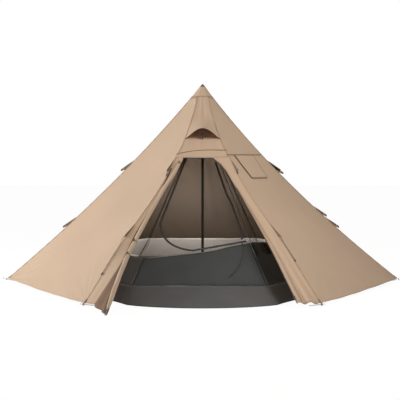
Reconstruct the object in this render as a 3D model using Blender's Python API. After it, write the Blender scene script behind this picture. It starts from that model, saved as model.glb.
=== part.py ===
"""Six-sided hot tent on one centre pole, with its mesh inner tent.

Metres, +Z up. The ground is at zero, the pole stands on the origin and the door faces -Y.
"""

import math

import bmesh
import bpy
from mathutils import Matrix, Vector

# Canopy sizes
corner_radius = 2.0
hem_height = 0.05
peak_height = 2.04
cap_depth = 0.135
cap_seam_height = peak_height - cap_depth
cap_tip_rise = 0.03
cap_tip_radius = 0.028
cap_flat_height = peak_height - cap_tip_rise
cap_wall_share = 1.4
cloth_thickness = 0.004
seam_radius = 0.005
panel_dip = 0.02
hem_droop = 0.02
front_pinch = 0.075
seat_gap = 0.0003
seam_set_share = 0.88

# How far each ridge hangs in from a straight line, at its middle
ridge_dips = {
    "right": 0.130,
    "back_right": 0.110,
    "back_left": 0.110,
    "left": 0.090,
    "front_left": 0.100,
    "front_right": 0.100,
}
ridge_names = list(ridge_dips)
side_count = len(ridge_names)
# The front seams are drawn together between these shares of their height
pinch_start_share = 0.16
pinch_length_share = 0.76

# Front, from the hood down to the door, and how far the door edges lie from the middle
hood_drop = 0.32
hood_depth = 0.253
vent_depth = 0.112
header_depth = 0.070
hood_top_height = peak_height - hood_drop
vent_sill_height = hood_top_height - hood_depth
header_height = vent_sill_height - vent_depth
door_top_height = header_height - header_depth
lower_row_count = 6
vent_row_count = 3
left_edge_shares = (
    (0.0, 0.91),
    (0.28, 0.865),
    (0.36, 0.835),
    (0.50, 0.845),
    (0.66, 0.870),
    (0.80, 0.855),
    (0.90, 0.80),
    (1.0, 0.74),
)
right_edge_shares = (
    (0.0, 0.80),
    (0.66, 0.81),
    (0.74, 0.80),
    (0.82, 0.76),
    (0.90, 0.70),
    (0.955, 0.58),
    (1.0, 0.36),
)

# Vent hood, its mesh and its prop
hood_reach = 0.095
hood_rise = 0.100
hood_set = 0.004
mesh_thickness = 0.0015
mesh_side_margin = 0.015
mesh_lap = 0.012
prop_radius = 0.004
prop_bulb_radius = 0.008
prop_bulb_length = 0.016
prop_inset = 0.008
prop_dome_shares = ((0.95, 0.3), (0.6, 0.8), (0.0, 1.0))
prop_bulb_shares = ((1.0, 0.0), (0.6, 1.0), (0.0, 0.4))

# Stove jack: a flap that hangs from its top edge over a fireproof patch with a pipe hole
jack_drop = 0.735
jack_top_height = peak_height - jack_drop
jack_lean_share = 0.78
jack_width = 0.335
jack_length = 0.285
jack_offset = -0.094
jack_frame = 0.022
patch_gap = 0.0004
pipe_hole_radius = 0.062
flap_thickness = 0.003
flap_standoff = 0.0055
flap_rim = 0.012
flap_rim_clearance = 0.0008

# Rolled door, its ties and the outer zip
roll_radius = 0.0215
roll_standoff = 0.006
roll_inset = 0.105
roll_height_shares = (0.985, 0.93, 0.86, 0.78, 0.68, 0.58, 0.48, 0.40, 0.33)
roll_inset_shares = (
    (0.0, 1.24),
    (0.33, 1.24),
    (0.40, 1.13),
    (0.48, 0.96),
    (0.58, 0.765),
    (0.68, 0.60),
    (0.78, 0.545),
    (0.86, 0.62),
    (0.93, 0.69),
    (1.0, 0.75),
)
roll_girth_shares = ((0.0, 1.0), (0.80, 0.95), (0.94, 0.80), (1.0, 0.45))
# The roll's loose tail leaves the front and comes down to the ground
tail_side = 0.78
tail_reach = 0.33
tail_lift_share = 0.9
tail_girth_shares = ((0.18, 1.0), (0.36, 1.0), (0.55, 1.0), (0.75, 1.0), (0.92, 0.66), (1.0, 0.5))
tail_ground_share = 0.66
web_height_share = 0.92
web_drop_share = 0.3
web_hem_share = 0.6
tie_radius = 0.0025
tie_gap = 0.0004
tie_shares = {"tie_upper": 0.05, "tie_middle": 0.496, "tie_lower": 0.589}
toggle_radius = 0.005
toggle_length = 0.032
zip_radius = 0.0025
zip_gap = 0.0004
zip_start_share = 0.02
slider_length = 0.020
slider_width = 0.014
slider_height = 0.013
pull_length = 0.045
pull_width = 0.008
pull_thickness = 0.002

# Guy loops on the ridges, peg rings at the corners, and the pegs
guy_heights = (1.215, 0.635)
guy_reach = 0.095
guy_base = 0.085
guy_drop = 0.060
guy_thickness = 0.003
guy_hole_radius = 0.008
guy_hole_share = 0.68
lug_girth_share = 0.8
ring_wire = 0.003
ring_drop = 0.010
peg_radius = 0.004
peg_length = 0.215
peg_fit = 0.0008
peg_point_share = 0.06
peg_point_girth_share = 0.3
peg_hook = 0.011
peg_hook_shares = ((0.7, 0.3), (1.0, 1.0), (0.6, 1.7), (-0.2, 1.8))
ring_radius = peg_radius + peg_fit + ring_wire

# Inner tent
inner_radius = 1.65
inner_drop = 0.22
inner_peak_height = peak_height - inner_drop
inner_dip = 0.14
# How far the front ridges stand in towards the door, by share of the height, as shares of the radius
inner_pinch_shares = {
    "front_right": ((0.0, 0.061), (0.082, 0.094), (0.209, 0.073), (0.742, 0.021), (0.96, 0.0)),
    "front_left": ((0.0, 0.055), (0.082, 0.061), (0.209, 0.045), (0.742, 0.0), (0.96, 0.0)),
}
tray_height = 0.15
tray_thickness = 0.003
tray_lip_share = 1.3
tray_foot_share = 2.6
tray_bow = 0.33
tray_bow_power = 0.5
band_set = 0.0023
band_height = 0.38
collar_drop = 0.065
collar_height = inner_peak_height - collar_drop
collar_girth_share = 2.0
inner_door_drop = 0.47
inner_door_top = inner_peak_height - inner_door_drop
binding_radius = 0.004
binding_start_share = 0.01
net_thickness = 0.002
net_drop_share = 3.0
inner_hinge_gap = 0.0005
inner_zip_radius = 0.0035
inner_side_names = ("right_back", "back", "left_back", "left_front", "front", "right_front")
# The inner door: heights as shares from the band to its top, widths as shares of the half width
inner_door_margin_share = 4.0
inner_door_right_share = 0.130
inner_door_top_share = 0.97
inner_door_left_share = 0.30
inner_door_foot_share = 0.045
inner_door_foot_width_share = -0.22
inner_door_turn_shares = (0.02, 0.12)

door_gap = 2 * (inner_zip_radius + zip_gap)

# Pole
pole_radius = 0.014
pole_wall = 0.0015
pole_spigot = 0.060
pole_joint_shares = (0.35, 0.69)
pole_fit = 0.0003
foot_radius = 0.021
foot_height = 0.040
foot_floor = 0.006
plug_head = 0.012
plug_shares = ((1.0, 0.0), (1.0, 0.3), (0.75, 0.75), (0.0, 1.0))

round_sides = 12
turned_sides = 24
overrun = 0.02

# Colour, roughness and metallic value of each finish
finishes = {
    "canvas": ((0.52, 0.41, 0.30, 1.0), 0.85, 0.0),
    "binding": ((0.26, 0.18, 0.11, 1.0), 0.80, 0.0),
    "cap_cloth": ((0.10, 0.09, 0.08, 1.0), 0.80, 0.0),
    "net": ((0.06, 0.05, 0.045, 1.0), 0.90, 0.0),
    "grey_cloth": ((0.07, 0.07, 0.068, 1.0), 0.75, 0.0),
    "groundsheet": ((0.11, 0.11, 0.108, 1.0), 0.60, 0.0),
    "fireproof": ((0.35, 0.33, 0.30, 1.0), 0.90, 0.0),
    "dark_webbing": ((0.05, 0.04, 0.03, 1.0), 0.80, 0.0),
    "dark_plastic": ((0.06, 0.04, 0.03, 1.0), 0.50, 0.0),
    "zip_tape": ((0.05, 0.045, 0.04, 1.0), 0.60, 0.0),
    "zip_metal": ((0.08, 0.08, 0.08, 1.0), 0.40, 1.0),
    "pole_steel": ((0.16, 0.14, 0.12, 1.0), 0.35, 1.0),
    "rubber": ((0.03, 0.03, 0.03, 1.0), 0.80, 0.0),
    "peg_steel": ((0.20, 0.20, 0.20, 1.0), 0.35, 1.0),
    "toggle_wood": ((0.20, 0.11, 0.05, 1.0), 0.60, 0.0),
}


# Scene and materials
def clear_scene():
    for found in list(bpy.data.objects):
        bpy.data.objects.remove(found, do_unlink=True)


def finish_material(finish):
    """The material of one finish, made the first time it is asked for."""
    known = bpy.data.materials.get(finish)
    if known:
        return known
    colour, roughness, metallic = finishes[finish]
    material = bpy.data.materials.new(finish)
    material.use_nodes = True
    shader = material.node_tree.nodes["Principled BSDF"]
    shader.inputs["Base Color"].default_value = colour
    shader.inputs["Roughness"].default_value = roughness
    shader.inputs["Metallic"].default_value = metallic
    material.diffuse_color = colour
    return material


def piece_from(name, shape, finish, smooth=False):
    """An object from a bmesh, with its faces turned outwards."""
    bmesh.ops.recalc_face_normals(shape, faces=shape.faces)
    mesh = bpy.data.meshes.new(name)
    shape.to_mesh(mesh)
    shape.free()
    if smooth:
        mesh.shade_smooth()
        mesh.set_sharp_from_angle(angle=math.radians(40))
    piece = bpy.data.objects.new(name, mesh)
    bpy.context.scene.collection.objects.link(piece)
    piece.data.materials.append(finish_material(finish))
    return piece


def as_cutter(piece):
    piece.hide_render = True
    piece.display_type = "WIRE"
    return piece


def boolean(piece, cutter, operation):
    step = piece.modifiers.new(operation.title(), "BOOLEAN")
    step.operation = operation
    step.solver = "EXACT"
    step.object = cutter


def hang_on(piece, name, place):
    """Parent a moving piece to an empty on its joint, leaving the piece where it is."""
    joint = bpy.data.objects.new(name, None)
    joint.location = place
    bpy.context.scene.collection.objects.link(joint)
    piece.parent = joint
    piece.matrix_parent_inverse = Matrix.Translation(-Vector(place))


# Shapes
def grid_faces(shape, rows, closed=False):
    """Quads between rows of vertices of equal length."""
    for low, high in zip(rows, rows[1:]):
        last = len(low) if closed else len(low) - 1
        for i in range(last):
            j = (i + 1) % len(low)
            shape.faces.new((low[i], low[j], high[j], high[i]))


def sheet(name, rows, thickness, finish):
    """A cloth shell: its outer face passes through rows of points that run left to right, bottom to top."""
    shape = bmesh.new()
    made = [[shape.verts.new(point) for point in row] for row in rows]
    grid_faces(shape, made)
    mesh = bpy.data.meshes.new(name)
    shape.to_mesh(mesh)
    shape.free()
    piece = bpy.data.objects.new(name, mesh)
    bpy.context.scene.collection.objects.link(piece)
    piece.data.materials.append(finish_material(finish))
    wall = piece.modifiers.new("Thickness", "SOLIDIFY")
    wall.thickness = thickness
    wall.offset = -1
    return piece


def ring_frames(path):
    """A side and an up direction at each point of a path, turned as little as possible."""
    steps = [(b - a).normalized() for a, b in zip(path, path[1:])]
    tangents = [steps[0]] + [(a + b).normalized() for a, b in zip(steps, steps[1:])] + [steps[-1]]
    side = tangents[0].orthogonal().normalized()
    frames = []
    for tangent in tangents:
        side = (side - tangent * side.dot(tangent)).normalized()
        frames.append((side, tangent.cross(side)))
    return frames


def tube_into(shape, path, radii, sides=8, closed=False):
    """Add a round tube along a path to a bmesh."""
    if closed:
        frames = ring_frames(path + [path[0]])[:-1]
    else:
        frames = ring_frames(path)
    rings = []
    for point, radius, (side, up) in zip(path, radii, frames):
        turns = [math.tau * i / sides for i in range(sides)]
        spokes = [side * math.cos(turn) + up * math.sin(turn) for turn in turns]
        rings.append([shape.verts.new(point + spoke * radius) for spoke in spokes])
    if closed:
        grid_faces(shape, rings + [rings[0]], closed=True)
        return
    grid_faces(shape, rings, closed=True)
    shape.faces.new(list(reversed(rings[0])))
    shape.faces.new(rings[-1])


def hoop_into(shape, centre, axis, radius, wire, count=16, sides=6):
    """Add a closed ring to a bmesh."""
    axis = Vector(axis).normalized()
    side = axis.orthogonal().normalized()
    up = axis.cross(side)
    rings = []
    for i in range(count):
        turn = math.tau * i / count
        out = side * math.cos(turn) + up * math.sin(turn)
        middle = centre + out * radius
        leans = [math.tau * k / sides for k in range(sides)]
        spokes = [out * math.cos(lean) + axis * math.sin(lean) for lean in leans]
        rings.append([shape.verts.new(middle + spoke * wire) for spoke in spokes])
    grid_faces(shape, rings + [rings[0]], closed=True)


def tube(name, path, radius, finish, sides=8):
    shape = bmesh.new()
    tube_into(shape, path, [radius] * len(path), sides)
    return piece_from(name, shape, finish, smooth=True)


def turned(name, profile, finish, sides=turned_sides):
    """Revolve a closed profile of (radius, height) about Z."""
    shape = bmesh.new()
    rings = []
    for radius, height in profile:
        if radius == 0:
            rings.append([shape.verts.new((0, 0, height))])
            continue
        turns = [math.tau * i / sides for i in range(sides)]
        places = [(radius * math.cos(turn), radius * math.sin(turn), height) for turn in turns]
        rings.append([shape.verts.new(place) for place in places])
    for low, high in zip(rings, rings[1:] + rings[:1]):
        turned_band(shape, low, high, sides)
    return piece_from(name, shape, finish, smooth=True)


def turned_band(shape, low, high, sides):
    """Join two rings of a turned shape, either of which may be a point on the axis."""
    if len(low) == 1 and len(high) == 1:
        return
    for i in range(sides):
        j = (i + 1) % sides
        if len(low) == 1:
            shape.faces.new((low[0], high[j], high[i]))
        elif len(high) == 1:
            shape.faces.new((low[i], low[j], high[0]))
        else:
            shape.faces.new((low[i], low[j], high[j], high[i]))


def prism_into(shape, outline, depth):
    """Add a flat outline of points, pulled along a vector, to a bmesh."""
    near = [shape.verts.new(point) for point in outline]
    far = [shape.verts.new(point + depth) for point in outline]
    shape.faces.new(near)
    shape.faces.new(list(reversed(far)))
    grid_faces(shape, [near, far], closed=True)


def prism(name, outline, depth, finish):
    shape = bmesh.new()
    prism_into(shape, outline, depth)
    return piece_from(name, shape, finish)


def read_shares(table, share):
    """A value between the two nearest entries of a table of shares."""
    for (low, start), (high, end) in zip(table, table[1:]):
        if share <= high:
            return start + (end - start) * (share - low) / (high - low)
    return table[-1][1]


def bump(share):
    """Nought at both ends and one in the middle."""
    return 4 * share * (1 - share)


# Ridge lines of the canopy
def row_heights():
    """Heights that every canopy piece shares, so that neighbours meet along straight stretches."""
    rise = door_top_height - hem_height
    lower = [hem_height + rise * i / lower_row_count for i in range(lower_row_count + 1)]
    rise = cap_seam_height - vent_sill_height
    upper = [vent_sill_height + rise * i / vent_row_count for i in range(vent_row_count + 1)]
    return lower + [header_height] + upper


def ridge_angle(name):
    return math.tau * ridge_names.index(name) / side_count


def ridge_curve(name, height):
    """A point on a ridge, which hangs in towards the pole between its ends."""
    share = (height - hem_height) / (peak_height - hem_height)
    reach = corner_radius * (1 - share) - ridge_dips[name] * bump(share)
    angle = ridge_angle(name)
    point = Vector((reach * math.cos(angle), reach * math.sin(angle), height))
    pinch_share = min(max((share - pinch_start_share) / pinch_length_share, 0), 1)
    if name.startswith("front"):
        point.x -= math.copysign(front_pinch * math.sin(math.pi * pinch_share) ** 2, point.x)
    return point


def ridge(name, height):
    """The ridge as sewn: straight between the shared heights."""
    rows = row_heights()
    pairs = list(zip(rows, rows[1:]))
    low, high = next((pair for pair in pairs if height <= pair[1]), pairs[-1])
    share = (height - low) / (high - low)
    return ridge_curve(name, low).lerp(ridge_curve(name, high), share)


def seam_inset():
    return (seam_radius + seat_gap) / seam_set_share


def front_half(height):
    return ridge("front_right", height).x


def front_point(x, height):
    return Vector((x, ridge("front_right", height).y, height))


def front_across(half, share, height):
    """A point of the front, at a share of the way from its left half width to its right."""
    return front_point(-half, height).lerp(front_point(half, height), share)


def front_normal(height):
    """Outward normal of the front at a height."""
    step = (door_top_height - hem_height) / lower_row_count / 4
    rise = front_point(0, height + step) - front_point(0, height - step)
    return Vector((1, 0, 0)).cross(rise).normalized()


# Side panels
def panel_row(left, right, height, droop=0.0, columns=8):
    """Points across a side panel, between its two seams."""
    start = ridge(left, height)
    end = ridge(right, height)
    along = (end - start).normalized()
    inward = Vector((-along.y, along.x, 0))
    if inward.dot(start) > 0:
        inward.negate()
    inset = seam_inset()
    dip = panel_dip * ((end - start).length / corner_radius) ** 2
    points = []
    for i in range(columns + 1):
        share = i / columns
        point = (start + along * inset).lerp(end - along * inset, share)
        point += inward * dip * bump(share)
        point.z -= droop * bump(share)
        points.append(point)
    return points


def panel_heights():
    return row_heights()[:-1] + [cap_seam_height - seat_gap]


def side_panel(name, left, right):
    rows = []
    for i, height in enumerate(panel_heights()):
        rows.append(panel_row(left, right, height, hem_droop if i == 0 else 0.0))
    return sheet(name, rows, cloth_thickness, "canvas")


def make_side_panels():
    side_panel("left_front_panel", "left", "front_left")
    side_panel("left_back_panel", "back_left", "left")
    side_panel("back_panel", "back_right", "back_left")
    side_panel("right_back_panel", "right", "back_right")


# Front pieces, between the two front seams
def strip_heights():
    return row_heights()[: lower_row_count + 1]


def strip_rows(edge_shares, side):
    """Rows of a door strip from its seam to its door edge; side is 1 on the right and -1 on the left."""
    heights = sorted(set(strip_heights() + [door_top_height * share for share, _ in edge_shares[1:-1]]))
    heights[-1] = door_top_height - seat_gap
    rows = []
    for height in heights:
        seam = front_half(height) - seam_inset()
        edge = front_half(height) * read_shares(edge_shares, height / door_top_height)
        xs = [edge + (seam - edge) * i / 3 for i in range(4)]
        row = [front_point(side * x, height) for x in xs]
        rows.append(row if side > 0 else row[::-1])
    return rows


def make_strips():
    sheet("door_strip_right", strip_rows(right_edge_shares, 1), cloth_thickness, "canvas")
    sheet("door_strip_left", strip_rows(left_edge_shares, -1), cloth_thickness, "canvas")


def front_band(name, low, high, columns=8):
    """A panel across the whole front between two heights."""
    heights = [low] + [height for height in row_heights() if low < height < high] + [high]
    rows = []
    for height in heights:
        half = front_half(height) - seam_inset()
        rows.append([front_across(half, i / columns, height) for i in range(columns + 1)])
    return sheet(name, rows, cloth_thickness, "canvas")


def make_front_panels():
    front_band("door_header", door_top_height, header_height - seat_gap)
    front_band("vent_panel", header_height, vent_sill_height - seat_gap)


def hood_point(share, height):
    """A point of the hood, which the prop lifts off the front between the two seams."""
    point = front_across(front_half(height) - seam_inset(), share, height)
    rise = (hood_top_height - height) / (hood_top_height - vent_sill_height)
    lift = max(rise, 0) ** 2 * bump(share)
    return point + Vector((0, -hood_reach, hood_rise)) * lift


def hood_heights():
    span = hood_top_height - vent_sill_height
    fine = [vent_sill_height + span * share / 6 for share in range(1, 7)]
    low = vent_sill_height + hood_set
    standard = [height for height in row_heights() if height > low]
    return sorted({low, *fine, *standard})[:-1] + [cap_seam_height - seat_gap]


def make_hood():
    rows = [[hood_point(i / 12, height) for i in range(13)] for height in hood_heights()]
    return sheet("vent_hood", rows, cloth_thickness, "canvas")


def make_vent_mesh():
    """The mesh is sewn behind the vent panel and behind the flat top of the hood."""
    depth = cloth_thickness + seat_gap
    rows = []
    for share in range(4):
        low = vent_sill_height - mesh_lap
        height = low + (hood_top_height - mesh_lap - low) * share / 3
        half = front_half(height) - mesh_side_margin
        back = front_normal(height) * depth
        rows.append([front_across(half, i / 4, height) - back for i in range(5)])
    return sheet("vent_mesh", rows, mesh_thickness, "net")


def prop_ends():
    """The prop's pivot under the crown of the hood, and its foot on the sill of the vent."""
    low, high = [hood_point(0.5, height) for height in hood_heights()[:2]]
    rise = (high - low).normalized()
    under = rise.cross(Vector((1, 0, 0)))
    pivot = low + rise * prop_inset + under * (cloth_thickness + prop_radius + seat_gap)
    sill = front_point(0, vent_sill_height - seat_gap)
    return pivot, sill - (sill - pivot).normalized() * seat_gap * 2


def make_vent_prop():
    """A stick with a round top that turns under the hood, and a bulb at its foot."""
    pivot, foot = prop_ends()
    along = (foot - pivot).normalized()
    path = []
    radii = []
    for back_share, radius_share in prop_dome_shares:
        path.append(pivot - along * prop_radius * back_share)
        radii.append(prop_radius * radius_share)
    for back_share, radius_share in prop_bulb_shares:
        path.append(foot - along * prop_bulb_length * back_share)
        radii.append(prop_radius + (prop_bulb_radius - prop_radius) * radius_share)
    shape = bmesh.new()
    tube_into(shape, path, radii)
    piece = piece_from("vent_prop", shape, "dark_plastic", smooth=True)
    hang_on(piece, "vent_prop_joint", pivot)


# Seams on the ridges, with their guy loops and peg rings
def outward(name):
    angle = ridge_angle(name)
    return Vector((math.cos(angle), math.sin(angle), 0))


def peg_axis(name):
    """Direction from a peg's tip up to its hook."""
    lift = hem_height - ring_drop / 2 - peg_radius
    return (outward(name) * peg_length + Vector((0, 0, lift))).normalized()


def ring_centre(name):
    foot = ridge(name, hem_height)
    return foot + outward(name) * (ring_radius + seam_radius) - Vector((0, 0, ring_drop))


def guy_plane(name, height):
    """Two ends on the ridge, the across and up directions of a guy loop's plane, and its tip."""
    out = outward(name)
    top = ridge(name, height + guy_base / 2)
    low = ridge(name, height - guy_base / 2)
    across = out.cross(top - low).normalized()
    up = across.cross(out)
    tip = low.lerp(top, 0.5) + out * guy_reach - up * guy_drop
    return (top, low), across, up, tip


def guy_tab_into(shape, name, height):
    """A flat triangle of webbing that hangs out from the ridge."""
    (top, low), across, up, tip = guy_plane(name, height)
    blunt = outward(name) * guy_thickness + up * guy_thickness * 2
    half = across * (guy_thickness / 2)
    outline = [point - half for point in (top, low, tip - blunt, tip, tip + blunt)]
    prism_into(shape, outline, across * guy_thickness)


def guy_hole(name, height):
    """The two ends of a hole through a guy loop, near its tip."""
    ends, across, up, tip = guy_plane(name, height)
    centre = ends[0].lerp(ends[1], 0.5).lerp(tip, guy_hole_share)
    return [centre - across * overrun / 2, centre + across * overrun / 2]


def seam_path(name):
    rows = row_heights()
    path = [ridge(name, height) for height in rows[:-1]]
    return path + [ridge(name, cap_seam_height - seat_gap)]


def make_seam(name):
    shape = bmesh.new()
    path = seam_path(name)
    tube_into(shape, path, [seam_radius] * len(path))
    piece = piece_from(f"seam_{name}", shape, "binding", smooth=True)
    fittings = bmesh.new()
    for height in guy_heights:
        guy_tab_into(fittings, name, height)
    hoop_into(fittings, ring_centre(name), peg_axis(name), ring_radius, ring_wire)
    boolean(piece, as_cutter(piece_from(f"fittings_{name}", fittings, "dark_webbing")), "UNION")
    lug = bmesh.new()
    foot = ridge(name, hem_height)
    reach = outward(name) * (ring_radius + seam_radius)
    tube_into(lug, [foot, foot + reach], [seam_radius * lug_girth_share] * 2)
    boolean(piece, as_cutter(piece_from(f"lug_{name}", lug, "binding")), "UNION")
    holes = bmesh.new()
    for height in guy_heights:
        tube_into(holes, guy_hole(name, height), [guy_hole_radius] * 2)
    boolean(piece, as_cutter(piece_from(f"holes_{name}", holes, "binding")), "DIFFERENCE")


def make_peg(name):
    """A hooked wire peg through the corner ring, its tip on the ground under the hem."""
    axis = peg_axis(name)
    centre = ring_centre(name)
    tip_height = peg_radius + seat_gap
    tip = centre - axis * ((centre.z - tip_height) / axis.z)
    head = tip + axis * (peg_length + ring_radius)
    path = [tip, tip.lerp(head, peg_point_share), head]
    for on_share, up_share in peg_hook_shares:
        path.append(head + axis * peg_hook * on_share + Vector((0, 0, peg_hook * up_share)))
    radii = [peg_radius * peg_point_girth_share] + [peg_radius] * (len(path) - 1)
    shape = bmesh.new()
    tube_into(shape, path, radii)
    piece = piece_from(f"peg_{name}", shape, "peg_steel", smooth=True)
    hang_on(piece, f"peg_{name}_joint", centre)


def make_cap():
    """The cap over the pole's end, a small flat-topped pyramid open below."""
    wall = cloth_thickness * cap_wall_share
    shape = bmesh.new()
    outer = []
    inner = []
    for share in (0, 0.5, 1):
        corners = []
        for name in ridge_names:
            tip = outward(name) * cap_tip_radius + Vector((0, 0, cap_flat_height))
            corners.append(ridge_curve(name, cap_seam_height).lerp(tip, share))
        outer.append([shape.verts.new(corner) for corner in corners])
        lower = Vector((0, 0, cloth_thickness if share == 1 else 0))
        inside = [corner - outward(name) * wall - lower for corner, name in zip(corners, ridge_names)]
        inner.append([shape.verts.new(point) for point in inside])
    grid_faces(shape, outer, closed=True)
    grid_faces(shape, inner, closed=True)
    grid_faces(shape, [outer[0], inner[0]], closed=True)
    shape.faces.new(outer[-1])
    shape.faces.new(inner[-1])
    piece_from("top_cap", shape, "canvas")


def make_cap_tip():
    """The dark welded tip on the cap's flat top."""
    shape = bmesh.new()
    low = Vector((0, 0, cap_flat_height + seat_gap))
    base = [shape.verts.new(outward(name) * cap_tip_radius + low) for name in ridge_names]
    tip = shape.verts.new((0, 0, peak_height))
    shape.faces.new(base)
    for i in range(side_count):
        shape.faces.new((base[i], base[(i + 1) % side_count], tip))
    piece_from("cap_tip", shape, "cap_cloth")


# Stove jack, on the right front panel
def stove_surface(offset, height):
    """A point of the right front panel, at a distance sideways from its middle."""
    row = panel_row("front_right", "right", height)
    share = 0.5 + offset / (row[-1] - row[0]).length
    place = share * (len(row) - 1)
    first = min(int(place), len(row) - 2)
    return row[first].lerp(row[first + 1], place - first)


def jack_frame_axes():
    """Origin, across, down and outward directions of the flap's plane on the right front panel."""
    heights = (jack_top_height, jack_top_height - jack_length * jack_lean_share)
    sides = (jack_offset - jack_width / 2, jack_offset + jack_width / 2)
    top = stove_surface(jack_offset, heights[0])
    across = (stove_surface(sides[1], heights[0]) - stove_surface(sides[0], heights[0])).normalized()
    down = stove_surface(jack_offset, heights[1]) - top
    down = (down - across * down.dot(across)).normalized()
    out = down.cross(across).normalized()
    corners = [stove_surface(side, height) for side in sides for height in heights]
    proud = max((corner - top).dot(out) for corner in corners)
    return top + out * max(proud, 0), across, down, out


def jack_outline(axes, margin, low=0.0):
    """Corners of the flap's rectangle, drawn in by a margin, at a depth under its plane."""
    origin, across, down, out = axes
    half = jack_width / 2 - margin
    places = ((-half, margin), (half, margin), (half, jack_length - margin), (-half, jack_length - margin))
    return [origin + across * x + down * y + out * low for x, y in places]


def jack_block(name, axes, margin):
    """A cutter right through the panel, drawn in from the flap's rectangle by a margin."""
    out = axes[3]
    return as_cutter(prism(name, jack_outline(axes, margin, -overrun), out * overrun * 2, "canvas"))


def make_stove_panel(axes):
    side_panel("right_front_panel", "front_right", "right")
    panel = bpy.data.objects["right_front_panel"]
    boolean(panel, jack_block("patch_opening", axes, jack_frame), "DIFFERENCE")


def make_stove_patch(axes):
    """The fireproof patch that fills the panel's opening, with its round pipe hole."""
    patch = side_panel("stove_jack_patch", "front_right", "right")
    patch.data.materials[0] = finish_material("fireproof")
    boolean(patch, jack_block("patch_edge", axes, jack_frame + patch_gap), "INTERSECT")
    origin, across, down, out = axes
    centre = origin + down * jack_length / 2
    ends = [centre - out * overrun, centre + out * overrun]
    hole = bmesh.new()
    tube_into(hole, ends, [pipe_hole_radius] * 2, turned_sides)
    boolean(patch, as_cutter(piece_from("pipe_hole", hole, "fireproof")), "DIFFERENCE")


def flap_hinge(axes):
    """The flap turns on its outer face's top edge, so that it can fold up against the panel."""
    return axes[0] + axes[3] * (flap_standoff + flap_thickness)


def make_stove_flap(axes):
    """A flap with a raised edge all round, so that it stands clear of the patch."""
    out = axes[3]
    full = flap_standoff + flap_thickness - flap_rim_clearance
    flap = prism("stove_jack_flap", jack_outline(axes, 0.0, flap_rim_clearance), out * full, "canvas")
    hollow = jack_outline(axes, flap_rim, -overrun)
    cut = prism("flap_hollow", hollow, out * (overrun + flap_standoff), "canvas")
    boolean(flap, as_cutter(cut), "DIFFERENCE")
    hang_on(flap, "stove_jack_flap_joint", flap_hinge(axes))


# Rolled door
def roll_shape():
    """Centre and radius of the roll, from the door's top corner down to its tail on the ground."""
    centres = []
    radii = []
    for share in roll_height_shares:
        height = door_top_height * share
        radius = roll_radius * read_shares(roll_girth_shares, share)
        inset = roll_inset * read_shares(roll_inset_shares, share)
        place = front_point(inset - front_half(height), height)
        centres.append(place + front_normal(height) * (radius + roll_standoff))
        radii.append(radius)
    tail_start = centres[-1]
    tail_end = front_point(-tail_side, 0) - Vector((0, tail_reach, 0))
    tail_end.z = roll_radius * tail_ground_share + seat_gap
    for share, girth_share in tail_girth_shares:
        point = tail_start.lerp(tail_end, share)
        point.z += roll_radius * tail_lift_share * bump(share)
        centres.append(point)
        radii.append(roll_radius * girth_share)
    return centres, radii


def web_point(roll_share, width_share):
    """A point of the slack cloth between the left strip's edge and the roll's tail."""
    centres = roll_shape()[0][len(roll_height_shares) - 1 :]
    place = roll_share * (len(centres) - 1)
    first = min(int(place), len(centres) - 2)
    on_roll = centres[first].lerp(centres[first + 1], place - first)
    height = on_roll.z * web_height_share - roll_radius * web_drop_share
    height = max(height, hem_height * web_hem_share)
    edge = front_half(height) * read_shares(left_edge_shares, height / door_top_height)
    on_strip = front_point(-edge, height) + front_normal(height) * roll_standoff
    return on_strip.lerp(on_roll, width_share)


def make_roll():
    centres, radii = roll_shape()
    shape = bmesh.new()
    tube_into(shape, centres, radii, round_sides)
    piece = piece_from("door_roll", shape, "canvas", smooth=True)
    rows = [[web_point(share / 6, width / 4) for width in range(5)] for share in range(1, 7)]
    web = as_cutter(sheet("door_web", rows, cloth_thickness, "canvas"))
    boolean(piece, web, "UNION")


def make_tie(name, place_share):
    """A cord tie round the roll, with its toggle on top."""
    centres, radii = roll_shape()
    share = place_share * (len(centres) - 1)
    first = int(share)
    centre = centres[first].lerp(centres[first + 1], share - first)
    girth = radii[first] + (radii[first + 1] - radii[first]) * (share - first)
    radius = girth + tie_radius + tie_gap
    axis = (centres[first + 1] - centres[first]).normalized()
    shape = bmesh.new()
    flats = radius / math.cos(math.pi / turned_sides)
    hoop_into(shape, centre, axis, flats, tie_radius, count=turned_sides)
    piece = piece_from(name, shape, "toggle_wood", smooth=True)
    top = centre + front_normal(centre.z) * (radius + toggle_radius)
    bar = bmesh.new()
    ends = [top - axis * toggle_length / 2, top + axis * toggle_length / 2]
    tube_into(bar, ends, [toggle_radius] * 2)
    boolean(piece, as_cutter(piece_from(f"{name}_bar", bar, "toggle_wood")), "UNION")


# Outer zip
def edge_offset(points, distance):
    """Move a path that lies on the front sideways, towards the doorway."""
    moved = []
    for i, point in enumerate(points):
        before = points[max(i - 1, 0)]
        after = points[min(i + 1, len(points) - 1)]
        along = (after - before).normalized()
        side = front_normal(point.z).cross(along).normalized()
        stretch = 1.0
        if 0 < i < len(points) - 1:
            bend = (point - before).normalized().dot((after - point).normalized())
            stretch = 1 / math.sqrt((1 + bend) / 2)
        moved.append(point + side * distance * stretch)
    return moved


def zip_path():
    """Up the right strip's edge and along the underside of the header to the door's left corner."""
    edge = [row[0] for row in strip_rows(right_edge_shares, 1)]
    edge[0] = edge[0].lerp(edge[1], zip_start_share)
    rise = edge_offset(edge, zip_radius + zip_gap)
    back = front_normal(door_top_height) * -(cloth_thickness / 2)
    left = -front_half(door_top_height) * read_shares(left_edge_shares, 1.0)
    below = front_point(0, door_top_height - zip_radius - zip_gap * 2)
    rise[-1] = rise[-2].lerp(rise[-1], (below.z - rise[-2].z) / (rise[-1].z - rise[-2].z))
    end = Vector((left + zip_radius * 4, below.y, below.z)) + back
    path = [point + front_normal(point.z) * -(cloth_thickness / 2) for point in rise]
    return path + [end]


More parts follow.
